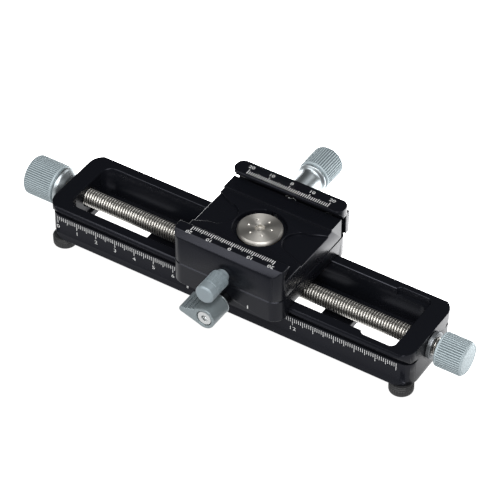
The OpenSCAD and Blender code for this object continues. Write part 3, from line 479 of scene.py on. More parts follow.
def add_piece(
    name: str,
    mesh: bpy.types.Mesh,
    finish: Finish,
    sharp_deg: float,
    body: str,
    slot: str,
    *nodes: str,
) -> bpy.types.Object:
    """Adds a smooth-shaded piece, rides it on its body and hides the nodes that it stands for.

    Args:
        name: The piece's name.
        mesh: Its mesh, in metres and in place.
        finish: Its finish.
        sharp_deg: The angle above which an edge stays sharp.
        body: The CAD body it moves with.
        slot: Not used.
        nodes: The CAD nodes it replaces.

    Returns:
        The piece.
    """
    piece = link(bpy.data.objects.new(name, mesh))
    mesh.materials.clear()
    mesh.materials.append(finish.material())
    mesh.polygons.foreach_set("use_smooth", [True] * len(mesh.polygons))
    mesh.set_sharp_from_angle(angle=math.radians(sharp_deg))
    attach(piece, body)
    if nodes:
        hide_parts(*nodes)
    LOG.info("piece %s on %s", piece.name, body)
    return piece


def dress(finish: Finish, *nodes: str) -> None:
    """Gives CAD nodes that stay their material.

    Args:
        finish: Their finish.
        nodes: The nodes' names.
    """
    for node in nodes:
        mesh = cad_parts[node].data
        mesh.materials.clear()
        mesh.materials.append(finish.material())
        LOG.info("node %s dressed", node)


def paint_face_shade(mesh: bpy.types.Mesh, finish: Finish, chosen: Callable[[Vector], bool]) -> None:
    """Paints shade on some of a mesh's faces by giving them a second, darker finish.

    Args:
        mesh: The mesh.
        finish: The second finish, which paints the shade.
        chosen: Tells from a face's middle, in millimetres, whether the face gets it.
    """
    mesh.materials.append(finish.material())
    for face in mesh.polygons:
        face.material_index = int(chosen(face.center / MM))


def stray_spots(
    mesh: bpy.types.Mesh, surface: BVHTree, reach_mm: float
) -> tuple[float, list[Vector]]:
    """Finds where a mesh has left the surface that it was made from, or faces away from it.

    Args:
        mesh: The mesh.
        surface: The surface.
        reach_mm: The distance that is still allowed.

    Returns:
        The stray triangles' area in square millimetres, and their corners in metres.
    """
    mesh.calc_loop_triangles()
    area = 0.0
    spots = []
    for triangle in mesh.loop_triangles:
        a, b, c = (mesh.vertices[i].co for i in triangle.vertices)
        _, normal, _, distance = surface.find_nearest((a + b + c) / 3)
        span = (b - a).cross(c - a) / 2
        turned = span.dot(normal) < STRAY_COSINE * span.length
        if span.length > TINY_AREA * MM**2 and (distance > reach_mm * MM or turned):
            area += span.length / MM**2
            spots += [a.copy(), b.copy(), c.copy()]
    return area, spots


def near_spot(line: bmesh.types.BMEdge, spots: KDTree, reach_mm: float) -> bool:
    """Tells whether an edge passes near one of the spots.

    Args:
        line: The edge.
        spots: The spots.
        reach_mm: The distance that counts as near.

    Returns:
        Whether it does.
    """
    start, end = (corner.co for corner in line.verts)
    steps = max(1, math.ceil((end - start).length / (reach_mm * MM)))
    points = (start.lerp(end, i / steps) for i in range(steps + 1))
    return any(spots.find(point)[2] < reach_mm * MM for point in points)


def broken_edges(node: str, edge_mm: float, plain: Sequence[Vector]) -> bpy.types.Mesh:
    """Makes a CAD node's mesh with its outer edges broken.

    Args:
        node: The node's name.
        edge_mm: The width of the broken edges.
        plain: The spots near which edges stay as they are.

    Returns:
        The mesh.
    """
    shell = bmesh.new()
    shell.from_mesh(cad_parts[node].data)
    bmesh.ops.remove_doubles(shell, verts=shell.verts, dist=CAD_WELD * MM)
    flat = math.radians(FLAT_DEG)
    bmesh.ops.dissolve_limit(shell, angle_limit=flat, verts=shell.verts, edges=shell.edges)
    share = shell.edges.layers.float.new("bevel_weight_edge")
    spots = KDTree(max(1, len(plain)))
    for i, spot in enumerate(plain or [NOWHERE]):
        spots.insert(spot, i)
    spots.balance()
    sharp = math.radians(BROKEN_DEG)
    for line in shell.edges:
        if line.is_manifold and line.is_convex and line.calc_face_angle() > sharp:
            line[share] = 0.0 if near_spot(line, spots, PLAIN_REACH * edge_mm) else 1.0
    rough = sealed(shell, node + "_rough")
    blank = bpy.data.objects.new(node + "_blank", rough)
    bevel = blank.modifiers.new("edges", "BEVEL")
    bevel.width = edge_mm * MM
    bevel.segments = EDGE_STEPS
    bevel.limit_method = "WEIGHT"
    bevel.use_clamp_overlap = False
    mesh = final_mesh(blank)
    bpy.data.meshes.remove(rough)
    return mesh


def machined(node: str, edge_mm: float, finish: Finish, body: str, slot: str) -> None:
    """Puts a copy with broken outer edges, as a machined part's are, in a CAD node's place.

    Args:
        node: The node's name.
        edge_mm: The width of the broken edges, which stay plain where they would tear the skin.
        finish: The piece's finish.
        body: The CAD body it moves with.
        slot: The record's material slot.
    """
    surface = BVHTree.FromObject(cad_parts[node], bpy.context.evaluated_depsgraph_get())
    plain: list[Vector] = []
    best, least = None, math.inf
    for _ in range(EDGE_TRIES):
        mesh = broken_edges(node, edge_mm, plain)
        area, spots = stray_spots(mesh, surface, edge_mm * STRAY_SHARE)
        if area < least:
            best, least = mesh, area
        if area < STRAY_AREA:
            break
        plain += spots
    LOG.info("edges of %s broken, %.2f square millimetres stray", node, least)
    add_piece(node + "_shell", best, finish, 25.0, body, slot, node)


def rounded(outline: Sequence[Point], radius: float, steps: int = 3) -> list[Point]:
    """Rounds the corners of an open outline.

    Args:
        outline: Its (radius, length) points.
        radius: The rounding, made smaller where a side is short.
        steps: Segments in each rounding.

    Returns:
        The outline with its inner corners rounded.
    """
    result = [outline[0]]
    for before, corner, after in zip(outline, outline[1:], outline[2:]):
        at, back, ahead = Vector(corner), Vector(before), Vector(after)
        reach = min(radius, (back - at).length * SIDE_SHARE, (ahead - at).length * SIDE_SHARE)
        start = at + (back - at).normalized() * reach
        end = at + (ahead - at).normalized() * reach
        for i in range(steps + 1):
            t = i / steps
            result.append(tuple(start * (1 - t) ** 2 + at * 2 * t * (1 - t) + end * t**2))
    result.append(outline[-1])
    return result


def stretched(outline: Sequence[Point], step: float) -> list[Point]:
    """Splits an outline's long sides into steps no longer than step.

    Args:
        outline: Its (radius, length) points.
        step: The longest step.

    Returns:
        The finer outline.
    """
    result = [outline[0]]
    for (r0, s0), (r1, s1) in zip(outline, outline[1:]):
        count = max(1, math.ceil(math.hypot(r1 - r0, s1 - s0) / step))
        for i in range(1, count + 1):
            result.append((r0 + (r1 - r0) * i / count, s0 + (s1 - s0) * i / count))
    return result


def skin(shell: bmesh.types.BMesh, rings: Sequence[Sequence[bmesh.types.BMVert]]) -> None:
    """Joins rings of corners with faces, each to the next.

    Args:
        shell: The edit mesh.
        rings: The rings, all of one length.
    """
    for near, far in zip(rings, rings[1:]):
        for k in range(len(near)):
            n = (k + 1) % len(near)
            shell.faces.new((near[k], near[n], far[n], far[k]))


@dataclass(frozen=True)
class Lathe:
    """Makes turned meshes round an axis, from an origin at the piece's outer end."""

    origin: Vector
    axis: Axis

    def directions(self) -> tuple[Vector, Vector]:
        """Returns the directions across the axis in which the angle is 0 and a quarter turn."""
        side = Vector((1, 0, 0)) if self.axis is Axis.PLUS_Z else Vector((0, 0, 1))
        return side, self.axis.value.cross(side)

    def place_of(self, point: Vector) -> Triple:
        """Finds a point's place about the axis.

        Args:
            point: The point, in millimetres.

        Returns:
            Its radius, length and angle.
        """
        side, other = self.directions()
        reach = point - self.origin
        along = reach.dot(self.axis.value)
        spoke = reach - self.axis.value * along
        return spoke.length, along, math.atan2(spoke.dot(other), spoke.dot(side))

    def mesh(
        self, name: str, outline: Sequence[Point], segments: int, relief: Relief | None = None
    ) -> bpy.types.Mesh:
        """Turns an outline.

        Args:
            name: The mesh's name.
            outline: Its (radius, length) points in millimetres, from the outer end inwards.
            segments: Steps round the axis.
            relief: Gives the final radius from a radius, a length and an angle.

        Returns:
            The mesh, in metres and in place.
        """
        side, other = self.directions()
        shell = bmesh.new()
        rings = []
        for r, s in outline:
            ring = []
            for k in range(segments):
                angle = TAU * k / segments
                radius = relief(r, s, angle) if relief and r > 0 else r
                spoke = side * math.cos(angle) + other * math.sin(angle)
                corner = self.origin + (self.axis.value * s + spoke * radius)
                ring.append(shell.verts.new(corner * MM))
            rings.append(ring)
        skin(shell, rings)
        bmesh.ops.remove_doubles(shell, verts=shell.verts, dist=TURNED_WELD * MM)
        bmesh.ops.recalc_face_normals(shell, faces=shell.faces)
        return sealed(shell, name)


@dataclass(frozen=True)
class StraightRibs:
    """Straight ribs pressed along a barrel."""

    radius: float
    count: int
    depth: float
    start: float
    end: float
    sharpness: float = 1.4
    valley_from: float = 0.6

    def valley(self, angle: float) -> float:
        """Returns how deep an angle lies between two ribs, from 0 to 1."""
        return 0.5 - 0.5 * math.cos(self.count * angle)

    def relief(self, r: float, s: float, angle: float) -> float:
        """Returns the radius with the ribs' valleys cut in."""
        cut = self.radius - self.depth * self.valley(angle) ** self.sharpness
        return min(r, cut) if self.start <= s <= self.end else r

    def in_valley(self, r: float, s: float, angle: float) -> bool:
        """Tells whether a place on the barrel lies in a valley between two ribs."""
        ribbed = self.start <= s <= self.end and r > self.radius * 0.9
        return ribbed and self.valley(angle) > self.valley_from


@dataclass(frozen=True)
class DiamondKnurl:
    """Two crossing sets of knurled grooves round a barrel."""

    radius: float
    count: int
    depth: float
    lead: float
    start: float
    end: float
    groove_from: float = 0.65

    def groove(self, s: float, angle: float) -> float:
        """Returns how deep a place lies in the crossing grooves, from 0 to 1."""
        turns = self.count * angle / TAU
        return max(abs(((turns + way * s / self.lead) % 1) - 0.5) * 2 for way in (1, -1))

    def relief(self, r: float, s: float, angle: float) -> float:
        """Returns the radius with the crossing grooves cut in."""
        cut = self.radius - self.depth * self.groove(s, angle) ** 2
        return min(r, cut) if self.start <= s <= self.end else r

    def in_groove(self, r: float, s: float, angle: float) -> bool:
        """Tells whether a place on the barrel lies in a groove."""
        knurled = self.start <= s <= self.end and r > self.radius * 0.85
        return knurled and self.groove(s, angle) > self.groove_from


@dataclass(frozen=True)
class Thread:
    """A right-hand screw thread along a rod."""

    radius: float
    pitch: float
    depth: float
    root_flat: float = 0.12
    flanks: float = 0.72

    def relief(self, r: float, s: float, angle: float) -> float:
        """Returns the radius on the thread's root, flank or crest.

        Args:
            r: The rod's radius.
            s: The length along the rod.
            angle: The angle round it.

        Returns:
            The radius.
        """
        phase = (s / self.pitch - angle / TAU) % 1
        rise = (1 - abs(2 * phase - 1) - self.root_flat) / self.flanks
        return r - self.depth * (1 - min(1.0, max(0.0, rise)))


def corners_of(node: str) -> tuple[Vector, Vector]:
    """Returns a node's lowest and highest corners, in millimetres."""
    low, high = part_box(node)
    return low / MM, high / MM


# Printed scales ---------------------------------------------------------------------------


@dataclass
class Print:
    """A group of printed marks on one flat face, gathered into one mesh."""

    name: str
    origin: Vector
    lay: Lay
    film: float = 0.03
    film_rise: float = 0.4
    digit_share: float = 0.72
    digit_stretch: float = 1.25

    def __post_init__(self) -> None:
        """Starts the empty mesh and works out the face's directions."""
        self.marks = bmesh.new()
        self.right, self.up = self.lay.value
        self.out = self.right.cross(self.up)

    def spot(self, x: float, y: float) -> Matrix:
        """Returns the placement of a mark at (x, y) on the face, in metres."""
        turn = Matrix((self.right, self.up, self.out)).transposed().to_4x4()
        at = self.origin + self.right * x + self.up * y + self.out * (self.film * self.film_rise)
        return Matrix.Translation(at * MM) @ turn

    def bar(self, x: float, y0: float, y1: float, width: float) -> None:
        """Prints an upright bar.

        Args:
            x: Its middle.
            y0: Its lower end.
            y1: Its upper end.
            width: Its width.
        """
        size = Matrix.Diagonal((width * MM, abs(y1 - y0) * MM, self.film * MM, 1))
        bmesh.ops.create_cube(self.marks, size=1, matrix=self.spot(x, (y0 + y1) / 2) @ size)

    def number(self, text: str, x: float, y: float, height: float, spacing: float = 1.0) -> None:
        """Prints a number, centred on a point.

        Args:
            text: Its digits.
            x: Its middle.
            y: Its middle height.
            height: The digits' height.
            spacing: The gap between digits, as a share of the usual one.
        """
        curve = bpy.data.curves.new(self.name + "_" + text, "FONT")
        curve.body = text
        curve.size = height / self.digit_share
        curve.space_character = spacing
        curve.align_x = "CENTER"
        curve.align_y = "CENTER"
        curve.extrude = self.film / 2
        digits = final_mesh(bpy.data.objects.new(curve.name, curve))
        digits.transform(self.spot(x, y) @ Matrix.Diagonal((MM * self.digit_stretch, MM, MM, 1)))
        self.marks.from_mesh(digits)
        bpy.data.curves.remove(curve)
        bpy.data.meshes.remove(digits)

    def piece(self, body: str) -> None:
        """Finishes the print as a piece that rides on a body."""
        add_piece(self.name, sealed(self.marks, self.name), INK, 20.0, body, "black_anodised")


def tick_length(tick: int, lengths: Triple) -> float:
    """Returns a tick's length: the longest at each ten, the middle one at each five."""
    return lengths[2 if tick % 10 == 0 else 1 if tick % 5 == 0 else 0]


# Sub-assemblies ---------------------------------------------------------------------------


@dataclass
class Rail:
    """The rail with its ruler, feet and bushes."""

    edge: float = 0.3
    side_half_w: float = 17.45
    ruler_zero_x: float = -86.4
    ruler_last: int = 170
    ruler_top: float = 11.2
    tick_width: float = 0.28
    tick_lengths: Triple = (2.1, 3.0, 3.9)
    number_last: int = 12
    number_height: float = 1.9
    number_z: float = 5.4
    number_spacing: float = 1.1
    mark_x: float = -18.9
    mark_z: Span = (2.2, 3.7)
    mark_width: float = 0.9
    foot_outline: tuple[Point, ...] = (
        (0.0, 0.0), (4.5, 0.0), (5.4, 0.9), (5.4, 3.6), (5.15, 3.7), (5.15, 4.1),
        (5.4, 4.2), (5.4, 4.6), (5.0, 4.7), (5.0, 5.4), (0.0, 5.4),
    )
    foot_round: float = 0.5
    foot_step: float = 1.2
    foot_ribs: int = 30
    foot_rib_depth: float = 0.25
    foot_ribbed: Span = (1.0, 3.6)

    def build(self) -> None:
        """Builds and dresses the rail's pieces."""
        machined("rail_frame", self.edge, BLACK_ANODISED, "rail", "black_anodised")
        self.ruler()
        mark = Print("rail_index", Vector((0, -self.side_half_w, 0)), Lay.ON_FRONT)
        mark.bar(self.mark_x, *self.mark_z, self.mark_width)
        mark.piece("rail")
        self.feet()
        dress(STEEL_Z, "foot_studs")
        dress(BRONZE, "bush_left")
        dress(BLACK_ANODISED, "bush_right")

    def ruler(self) -> None:
        """Prints the millimetre ruler on the rail's front side."""
        origin = Vector((self.ruler_zero_x, -self.side_half_w, self.ruler_top))
        ruler = Print("rail_ruler", origin, Lay.ON_FRONT)
        number_y = self.number_z - self.ruler_top
        for tick in range(self.ruler_last + 1):
            ruler.bar(tick, 0, -tick_length(tick, self.tick_lengths), self.tick_width)
            if tick % 10 == 0 and tick // 10 <= self.number_last:
                ruler.number(
                    str(tick // 10), tick, number_y, self.number_height, self.number_spacing
                )
        ruler.piece("rail")

    def feet(self) -> None:
        """Turns the four feet."""
        low, high = corners_of("feet")
        radius = max(r for r, _ in self.foot_outline)
        ribs = StraightRibs(radius, self.foot_ribs, self.foot_rib_depth, *self.foot_ribbed)
        outline = stretched(rounded(self.foot_outline, self.foot_round), self.foot_step)
        shell = bmesh.new()
        for x in (low.x + radius, high.x - radius):
            for y in (low.y + radius, high.y - radius):
                lathe = Lathe(Vector((x, y, low.z)), Axis.PLUS_Z)
                foot = lathe.mesh("foot", outline, RIB_STEPS * self.foot_ribs, ribs.relief)
                shell.from_mesh(foot)
        feet = sealed(shell, "rail_feet")
        add_piece("rail_feet", feet, RUBBER, 35.0, "rail", "rubber", "feet")


@dataclass
class Knob:
    """A ribbed knob with a ring in its face and a polished neck, turned from its outer end."""

    name: str
    node: str
    body: str
    axis: Axis
    polish: TurnedMetal
    barrel_len: float
    rib_count: int
    rib_depth: float
    neck: tuple[Point, ...]
    edge: float = 0.9
    rounding: float = 0.45
    ring_in: float = 0.5
    ring_half_w: Span = (0.3, 0.15)
    ring_depth: float = 0.2
    rib_start: float = 0.54
    plain_rim: float = 1.0
    back_edge: Point = (0.45, 0.36)
    back_lap: float = 0.5
    barrel_step: float = 0.5
    neck_round: float = 0.4
    neck_segments: int = 96
    shortest_neck: float = 0.5

    def frame_line(self) -> tuple[Vector, float, float]:
        """Reads the knob's place from its CAD node.

        Returns:
            Its outer end on its axis, its length and its radius.
        """
        low, high = corners_of(self.node)
        along = self.axis.value
        middle = (low + high) / 2
        length = abs((high - low).dot(along))
        radius = (high.z - low.z) / 2
        return middle - along * (length / 2), length, radius

    def barrel_outline(self, radius: float) -> list[Point]:
        """Draws the barrel from the middle of its face to its back.

        Args:
            radius: The barrel's radius.

        Returns:
            Its (radius, length) points.
        """
        ring = radius - self.edge - self.ring_in
        top, floor = self.ring_half_w
        back_in, back_len = self.back_edge
        corners = [
            (0.0, 0.0), (ring - top, 0.0), (ring - floor, self.ring_depth),
            (ring + floor, self.ring_depth), (ring + top, 0.0),
            (radius - self.edge, 0.0), (radius, self.edge),
            (radius, self.barrel_len - back_len), (radius - back_in, self.barrel_len),
            (self.neck[0][0] - self.back_lap, self.barrel_len),
        ]
        return stretched(rounded(corners, self.rounding), self.barrel_step)

    def build(self) -> None:
        """Turns the barrel and, where the knob has one, the neck."""
        origin, length, radius = self.frame_line()
        lathe = Lathe(origin, self.axis)
        rib_end = self.barrel_len - self.plain_rim
        ribs = StraightRibs(radius, self.rib_count, self.rib_depth, self.rib_start, rib_end)
        name, steps = self.name + "_barrel", self.rib_count * RIB_STEPS
        mesh = lathe.mesh(name, self.barrel_outline(radius), steps, ribs.relief)
        add_piece(name, mesh, GREY_ANODISED, 50.0, self.body, "grey_anodised", self.node)
        # Faces deep between the ribs get the darker copy, which paints the shade in the valleys
        paint_face_shade(mesh, PAINTED_VALLEY_SHADE, lambda spot: ribs.in_valley(*lathe.place_of(spot)))
        if length - self.barrel_len < self.shortest_neck:
            return
        reach = [(r, self.barrel_len + s) for r, s in self.neck] + [(0.0, length)]
        outline = rounded(reach, self.neck_round, 4)
        name = self.name + "_neck"
        mesh = lathe.mesh(name, outline, self.neck_segments)
        add_piece(name, mesh, self.polish, 40.0, self.body, "grey_anodised", self.node)


@dataclass
class Drive:
    """The lead screw with its knobs and collar."""

    left_neck: tuple[Point, ...] = (
        (8.0, 0.0), (8.0, 0.55), (8.85, 0.6), (8.9, 1.4), (8.4, 2.3), (6.2, 4.1), (5.0, 4.7),
        (5.0, 5.8),
    )
    right_bore: tuple[Point, ...] = ((6.0, 0.0),)
    collar_edge: float = 0.25
    pitch: float = 1.25
    thread_depth: float = 0.75
    root_share: float = 0.45
    rows_per_pitch: int = 10
    segments: int = 40
    hidden_end: float = 6.0

    def build(self) -> None:
        """Builds and dresses the drive's pieces."""
        self.screw()
        Knob(
            "drive_knob_left", "knob_left", "drive", Axis.PLUS_X, POLISHED_X,
            barrel_len=15.0, rib_count=57, rib_depth=0.3, neck=self.left_neck,
        ).build()
        Knob(
            "drive_knob_right", "knob_right", "drive", Axis.MINUS_X, POLISHED_X,
            barrel_len=12.6, rib_count=45, rib_depth=0.32, neck=self.right_bore,
        ).build()
        machined("thrust_collar", self.collar_edge, SATIN_X, "drive", "steel")
        dress(STEEL_Z, "knob_screws")

    def screw(self) -> None:
        """Cuts the lead screw's thread."""
        low, high = corners_of("lead_screw")
        middle = (low + high) / 2
        radius = (high.z - low.z) / 2
        lathe = Lathe(Vector((low.x + self.hidden_end, middle.y, middle.z)), Axis.PLUS_X)
        length = high.x - low.x - 2 * self.hidden_end
        thread = Thread(radius, self.pitch, self.thread_depth)
        rod = stretched([(radius, 0.0), (radius, length)], self.pitch / self.rows_per_pitch)
        closed = [(0.0, 0.0)] + rod + [(0.0, length)]
        name = "lead_screw_thread"
        mesh = lathe.mesh(name, closed, self.segments, thread.relief)
        add_piece(name, mesh, STEEL_X, 60.0, "drive", "steel", "lead_screw")
        # Faces below the root line get the darker steel, which paints the shade in the thread's
        # roots
        root = radius - self.thread_depth * (1 - self.root_share)
        paint_face_shade(mesh, PAINTED_ROOT_SHADE, lambda spot: lathe.place_of(spot)[0] < root)


@dataclass
class Carriage:
    """The block that slides on the rail, with its pivot and nut."""

    edge: float = 0.3
    cap_edge: float = 0.15
    pointer_x: float = 18.2
    pointer_z: Span = (17.5, 19.2)
    pointer_width: float = 0.5

    def build(self) -> None:
        """Builds and dresses the carriage's pieces."""
        machined("carriage_block", self.edge, BLACK_ANODISED, "carriage", "black_anodised")
        low, _ = corners_of("carriage_block")
        pointer = Print("carriage_pointer", Vector((0, low.y, 0)), Lay.ON_FRONT)
        pointer.bar(self.pointer_x, *self.pointer_z, self.pointer_width)
        pointer.piece("carriage")
        low, high = corners_of("pivot_cap")
        cap = (low + high) / 2
        # Stainless steel faced on the lathe: two fans of light that meet in the middle
        faced = FacedSteel("faced_stainless_steel", "#bdbab4", 0.52, 0.72, (cap.x, cap.y, 0.0))
        machined("pivot_cap", self.cap_edge, faced, "carriage", "stainless")
        dress(BRONZE, "drive_nut")
        dress(STEEL_Z, "nut_screws", "pivot_post", "post_screws")
        dress(BRASS, "lock_plug")


@dataclass
class JawScale:
    """A scale on a jaw's top: a tick each millimetre to both sides of a zero."""

    name: str
    body: str
    lay: Lay
    origin: Vector
    tick_lengths: Triple
    number_y: float
    last: int = 20
    tick_width: float = 0.3
    number_height: float = 1.7

    def build(self) -> None:
        """Prints the scale."""
        scale = Print(self.name, self.origin, self.lay)
        for tick in range(-self.last, self.last + 1):
            scale.bar(tick, 0, tick_length(tick, self.tick_lengths), self.tick_width)
            if tick % 10 == 0:
                scale.number(str(abs(tick)), tick, self.number_y, self.number_height)
        scale.piece(self.body)


@dataclass
class PanKnob:
    """The small knob of the pan lock: a smooth head, a groove, a knurled grip and a collar."""

    head_len: float = 4.3
    head_edge: float = 0.8
    groove_len: float = 0.5
    groove_depth: float = 0.35
    groove_slopes: Span = (0.1, 0.15)
    shoulder: Point = (0.7, 0.6)
    collar_len: float = 2.25
    collar_radius: float = 2.9
    knurl_count: int = 34
    knurl_depth: float = 0.24
    knurl_lead: float = 0.8
    rounding: float = 0.25
    step: float = 0.12
    segments: int = 240

    def outline(self, radius: float, length: float) -> list[Point]:
        """Draws the knob from the middle of its face to its back.

        Args:
            radius: The knob's radius.
            length: Its length.

        Returns:
            Its (radius, length) points.
        """
        floor = radius - self.groove_depth
        before, after = self.groove_slopes
        grip_start, grip_end = self.head_len + self.groove_len, length - self.collar_len
        shoulder_in, shoulder_len = self.shoulder
        corners = [
            (0.0, 0.0), (radius - self.head_edge, 0.0), (radius, self.head_edge),
            (radius, self.head_len - before), (floor, self.head_len), (floor, grip_start),
            (radius, grip_start + after), (radius, grip_end - shoulder_len),
            (radius - shoulder_in, grip_end), (self.collar_radius, grip_end),
            (self.collar_radius, length), (0.0, length),
        ]
        return stretched(rounded(corners, self.rounding), self.step)

    def build(self) -> None:
        """Turns the knob."""
        low, high = corners_of("pan_knob")
        radius = (high.z - low.z) / 2
        middle = (low + high) / 2
        length = high.y - low.y
        lathe = Lathe(Vector((middle.x, low.y, middle.z)), Axis.PLUS_Y)
        knurl = DiamondKnurl(
            radius, self.knurl_count, self.knurl_depth, self.knurl_lead,
            self.head_len + self.groove_len, length - self.collar_len,
        )
        name = "pan_knob_turned"
        mesh = lathe.mesh(name, self.outline(radius, length), self.segments, knurl.relief)
        add_piece(name, mesh, PAN_ANODISED, 45.0, "pan_lock", "grey_anodised", "pan_knob")
        # Faces deep in the knurl's grooves get the darker copy, which paints the shade in them
        paint_face_shade(mesh, PAINTED_VALLEY_SHADE, lambda spot: knurl.in_groove(*lathe.place_of(spot)))


@dataclass
class Clamp:
    """The turning clamp base with its pan lock."""

    edge: float = 0.3
    scale_zero: Point = (6.9, -20.3)
    tick_lengths: Triple = (1.8, 2.2, 2.6)
    number_y: float = 3.85

    def build(self) -> None:
        """Builds and dresses the clamp's pieces."""
        machined("clamp_base", self.edge, BLACK_ANODISED, "clamp", "black_anodised")
        _, high = corners_of("clamp_base")
        origin = Vector((*self.scale_zero, high.z))
        JawScale(
            "front_jaw_scale", "clamp", Lay.ON_TOP_FROM_BACK, origin,
            self.tick_lengths, self.number_y,
        ).build()
        dress(BRASS, "pivot_washer", "pan_plug")
        dress(STEEL_Y, "pan_screw")
        PanKnob().build()


@dataclass
class Jaw:
    """The movable jaw with its spring, screw and knob."""

    edge: float = 0.25
    scale_zero: Point = (7.0, 19.95)
    tick_lengths: Triple = (1.9, 2.3, 2.9)
    number_y: float = 4.5
    knob_neck: tuple[Point, ...] = (
        (6.3, 0.0), (6.3, 0.6), (6.9, 0.7), (6.9, 1.4), (6.5, 1.7), (5.5, 2.3), (5.1, 3.4),
        (5.0, 14.7),
    )
    wire_r: float = 0.3
    wire_sides: int = 10
    wire_points: int = 24
    curls: int = 6
    spring_give: float = 2.5

    def build(self) -> None:
        """Builds and dresses the jaw's pieces."""
        machined("jaw", self.edge, BLACK_ANODISED, "jaw_unit", "black_anodised")
        _, high = corners_of("jaw")
        origin = Vector((*self.scale_zero, high.z))
        JawScale(
            "rear_jaw_scale", "jaw_unit", Lay.ON_TOP_FROM_FRONT, origin,
            self.tick_lengths, self.number_y,
        ).build()
        self.spring()
        dress(STEEL_Y, "guide_pins", "jaw_washer", "clamp_screw")
        Knob(
            "clamp_knob", "clamp_knob", "jaw_drive", Axis.MINUS_Y, POLISHED_Y,
            barrel_len=13.3, rib_count=42, rib_depth=0.32, neck=self.knob_neck,
        ).build()

    def spring(self) -> None:
        """Winds the jaw spring as one round wire."""
        low, high = corners_of("jaw_spring")
        middle = (low + high) / 2
        curl_r = (high.x - low.x) / 2 - self.wire_r
        run = high.y - low.y - 2 * self.wire_r
        count = self.curls * self.wire_points
        along = Vector((0, 1, 0))
        shell = bmesh.new()
        rings = []
        for i in range(count + 1):
            turn = TAU * i / self.wire_points
            out = Vector((math.cos(turn), 0, -math.sin(turn)))
            at = Vector((middle.x, low.y + self.wire_r + run * i / count, middle.z)) + out * curl_r
            ring = []
            for k in range(self.wire_sides):
                angle = TAU * k / self.wire_sides
                spoke = (out * math.cos(angle) + along * math.sin(angle)) * self.wire_r
                ring.append(shell.verts.new((at + spoke) * MM))
            rings.append(ring)
        skin(shell, rings)
        shell.faces.new(rings[0])
        shell.faces.new(rings[-1])
        bmesh.ops.recalc_face_normals(shell, faces=shell.faces)
        mesh = sealed(shell, "jaw_spring_wire")
        piece = add_piece(mesh.name, mesh, STEEL_Y, 60.0, "jaw_unit", "steel", "jaw_spring")
        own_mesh(piece)


@dataclass
class CarriageLock:
    """The ratchet lever that locks the carriage."""

    lever_edge: float = 0.35
    cap_edge: float = 0.3
    washer_edge: float = 0.15

    def build(self) -> None:
        """Builds and dresses the lock's pieces."""
        machined("lock_lever", self.lever_edge, LEVER_ANODISED, "lock_handle", "grey_anodised")
        machined("lever_cap_screw", self.cap_edge, STEEL_Y, "lock_stud", "stainless")
        machined("lever_washer", self.washer_edge, POLISHED_Y, "lock_stud", "steel")
        dress(DARK_STEEL_Y, "lever_stud")
        dress(STEEL_Y, "lever_spring")


# Studio -----------------------------------------------------------------------------------


@dataclass(frozen=True)
class Softbox:
    """A square soft light, its side in millimetres and its power in watts."""

    name: str
    at: Triple
    aim: Triple
    side: float
    watts: float

    def hang(self) -> None:
        """Hangs the light so that it faces its aim."""
        data = bpy.data.lights.new(self.name, "AREA")
        data.size = self.side * MM
        data.energy = self.watts
        lamp = link(bpy.data.objects.new(self.name, data))
        lamp.location = Vector(self.at) * MM
        facing = Vector(self.aim) - Vector(self.at)
        lamp.rotation_euler = facing.to_track_quat("-Z", "Y").to_euler()


SOFTBOXES = (
    Softbox("overhead_softbox", (250, -350, 800), (0, 0, 10), 600, 9.0),
    Softbox("front_softbox", (-360, -600, 570), (0, 0, 10), 500, 4.2),
    Softbox("back_softbox", (200, 620, 470), (10, 0, 20), 400, 1.2),
    Softbox("right_softbox", (600, -420, 420), (60, 0, 20), 400, 1.8),
)


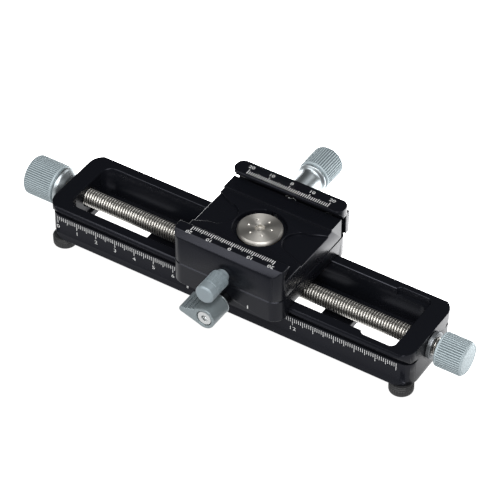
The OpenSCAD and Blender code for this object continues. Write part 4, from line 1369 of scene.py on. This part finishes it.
@dataclass
class Studio:
    """The lit table, the soft lights and the camera. Lengths in metres are marked _m."""

    camera_at: Triple = (459.7, -719.8, 793.8)
    look: Triple = (-0.3979, 0.6251, -0.6714)
    focal_px: float = 2720.46
    image_px: int = 500
    sensor_mm: float = 36.0
    sight_m: Span = (0.05, 50.0)
    air_colour: str = "#f2f4f6"
    air: float = 0.06
    table_size: float = 4000.0
    table_colour: str = "#3c3c3c"
    table_roughness: float = 0.9
    table_glow: Span = (0.98, 4.5)
    table_glow_y: Span = (-5.0, 50.0)

    def build(self) -> None:
        """Builds the studio."""
        self.camera()
        self.table()
        for softbox in SOFTBOXES:
            softbox.hang()
        world = bpy.data.worlds.new("studio_air")
        world.use_nodes = True
        air = world.node_tree.nodes["Background"].inputs
        air["Color"].default_value = linear(self.air_colour)
        air["Strength"].default_value = self.air
        bpy.context.scene.world = world

    def camera(self) -> None:
        """Places the camera at the photograph's angle."""
        data = bpy.data.cameras.new("studio_camera")
        data.sensor_width = self.sensor_mm
        data.lens = self.focal_px * self.sensor_mm / self.image_px
        data.clip_start, data.clip_end = self.sight_m
        camera = link(bpy.data.objects.new("studio_camera", data))
        camera.location = Vector(self.camera_at) * MM
        camera.rotation_euler = Vector(self.look).to_track_quat("-Z", "Y").to_euler()
        bpy.context.scene.camera = camera

    def table(self) -> None:
        """Lays a white light table under the feet, which glows more towards the back."""
        low, _ = corners_of("feet")
        half = self.table_size / 2
        mesh = bpy.data.meshes.new("studio_floor")
        sides = ((-half, -half), (half, -half), (half, half), (-half, half))
        mesh.from_pydata([(x * MM, y * MM, low.z * MM) for x, y in sides], [], [(0, 1, 2, 3)])
        table = link(bpy.data.objects.new("studio_floor", mesh))
        # White acrylic over lamps: its own light drowns every shadow that falls on it
        recipe = Recipe("lit_white_acrylic")
        split = recipe.add_node("ShaderNodeSeparateXYZ", links={"Vector": recipe.place})
        (near, far), (dim, bright) = self.table_glow_y, self.table_glow
        glow = recipe.add_node(
            "ShaderNodeMapRange",
            {"From Min": near * MM, "From Max": far * MM, "To Min": dim, "To Max": bright},
            {"Value": split.outputs["Y"]},
        )
        recipe.set({"Base Color": linear(self.table_colour), "Roughness": self.table_roughness})
        recipe.set({"Emission Color": linear(WHITE)})
        recipe.feed("Emission Strength", glow.outputs["Result"])
        mesh.materials.append(recipe.material)


def main() -> None:
    """Builds the scene in order."""
    logging.basicConfig(level=logging.INFO, format="%(message)s")
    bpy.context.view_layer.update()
    bpy.context.scene.view_settings.view_transform = "Standard"
    for part in (Studio(), Rail(), Drive(), Carriage(), Clamp(), Jaw(), CarriageLock()):
        part.build()
        LOG.info("%s built", type(part).__name__)


if __name__ == "__main__":
    main()
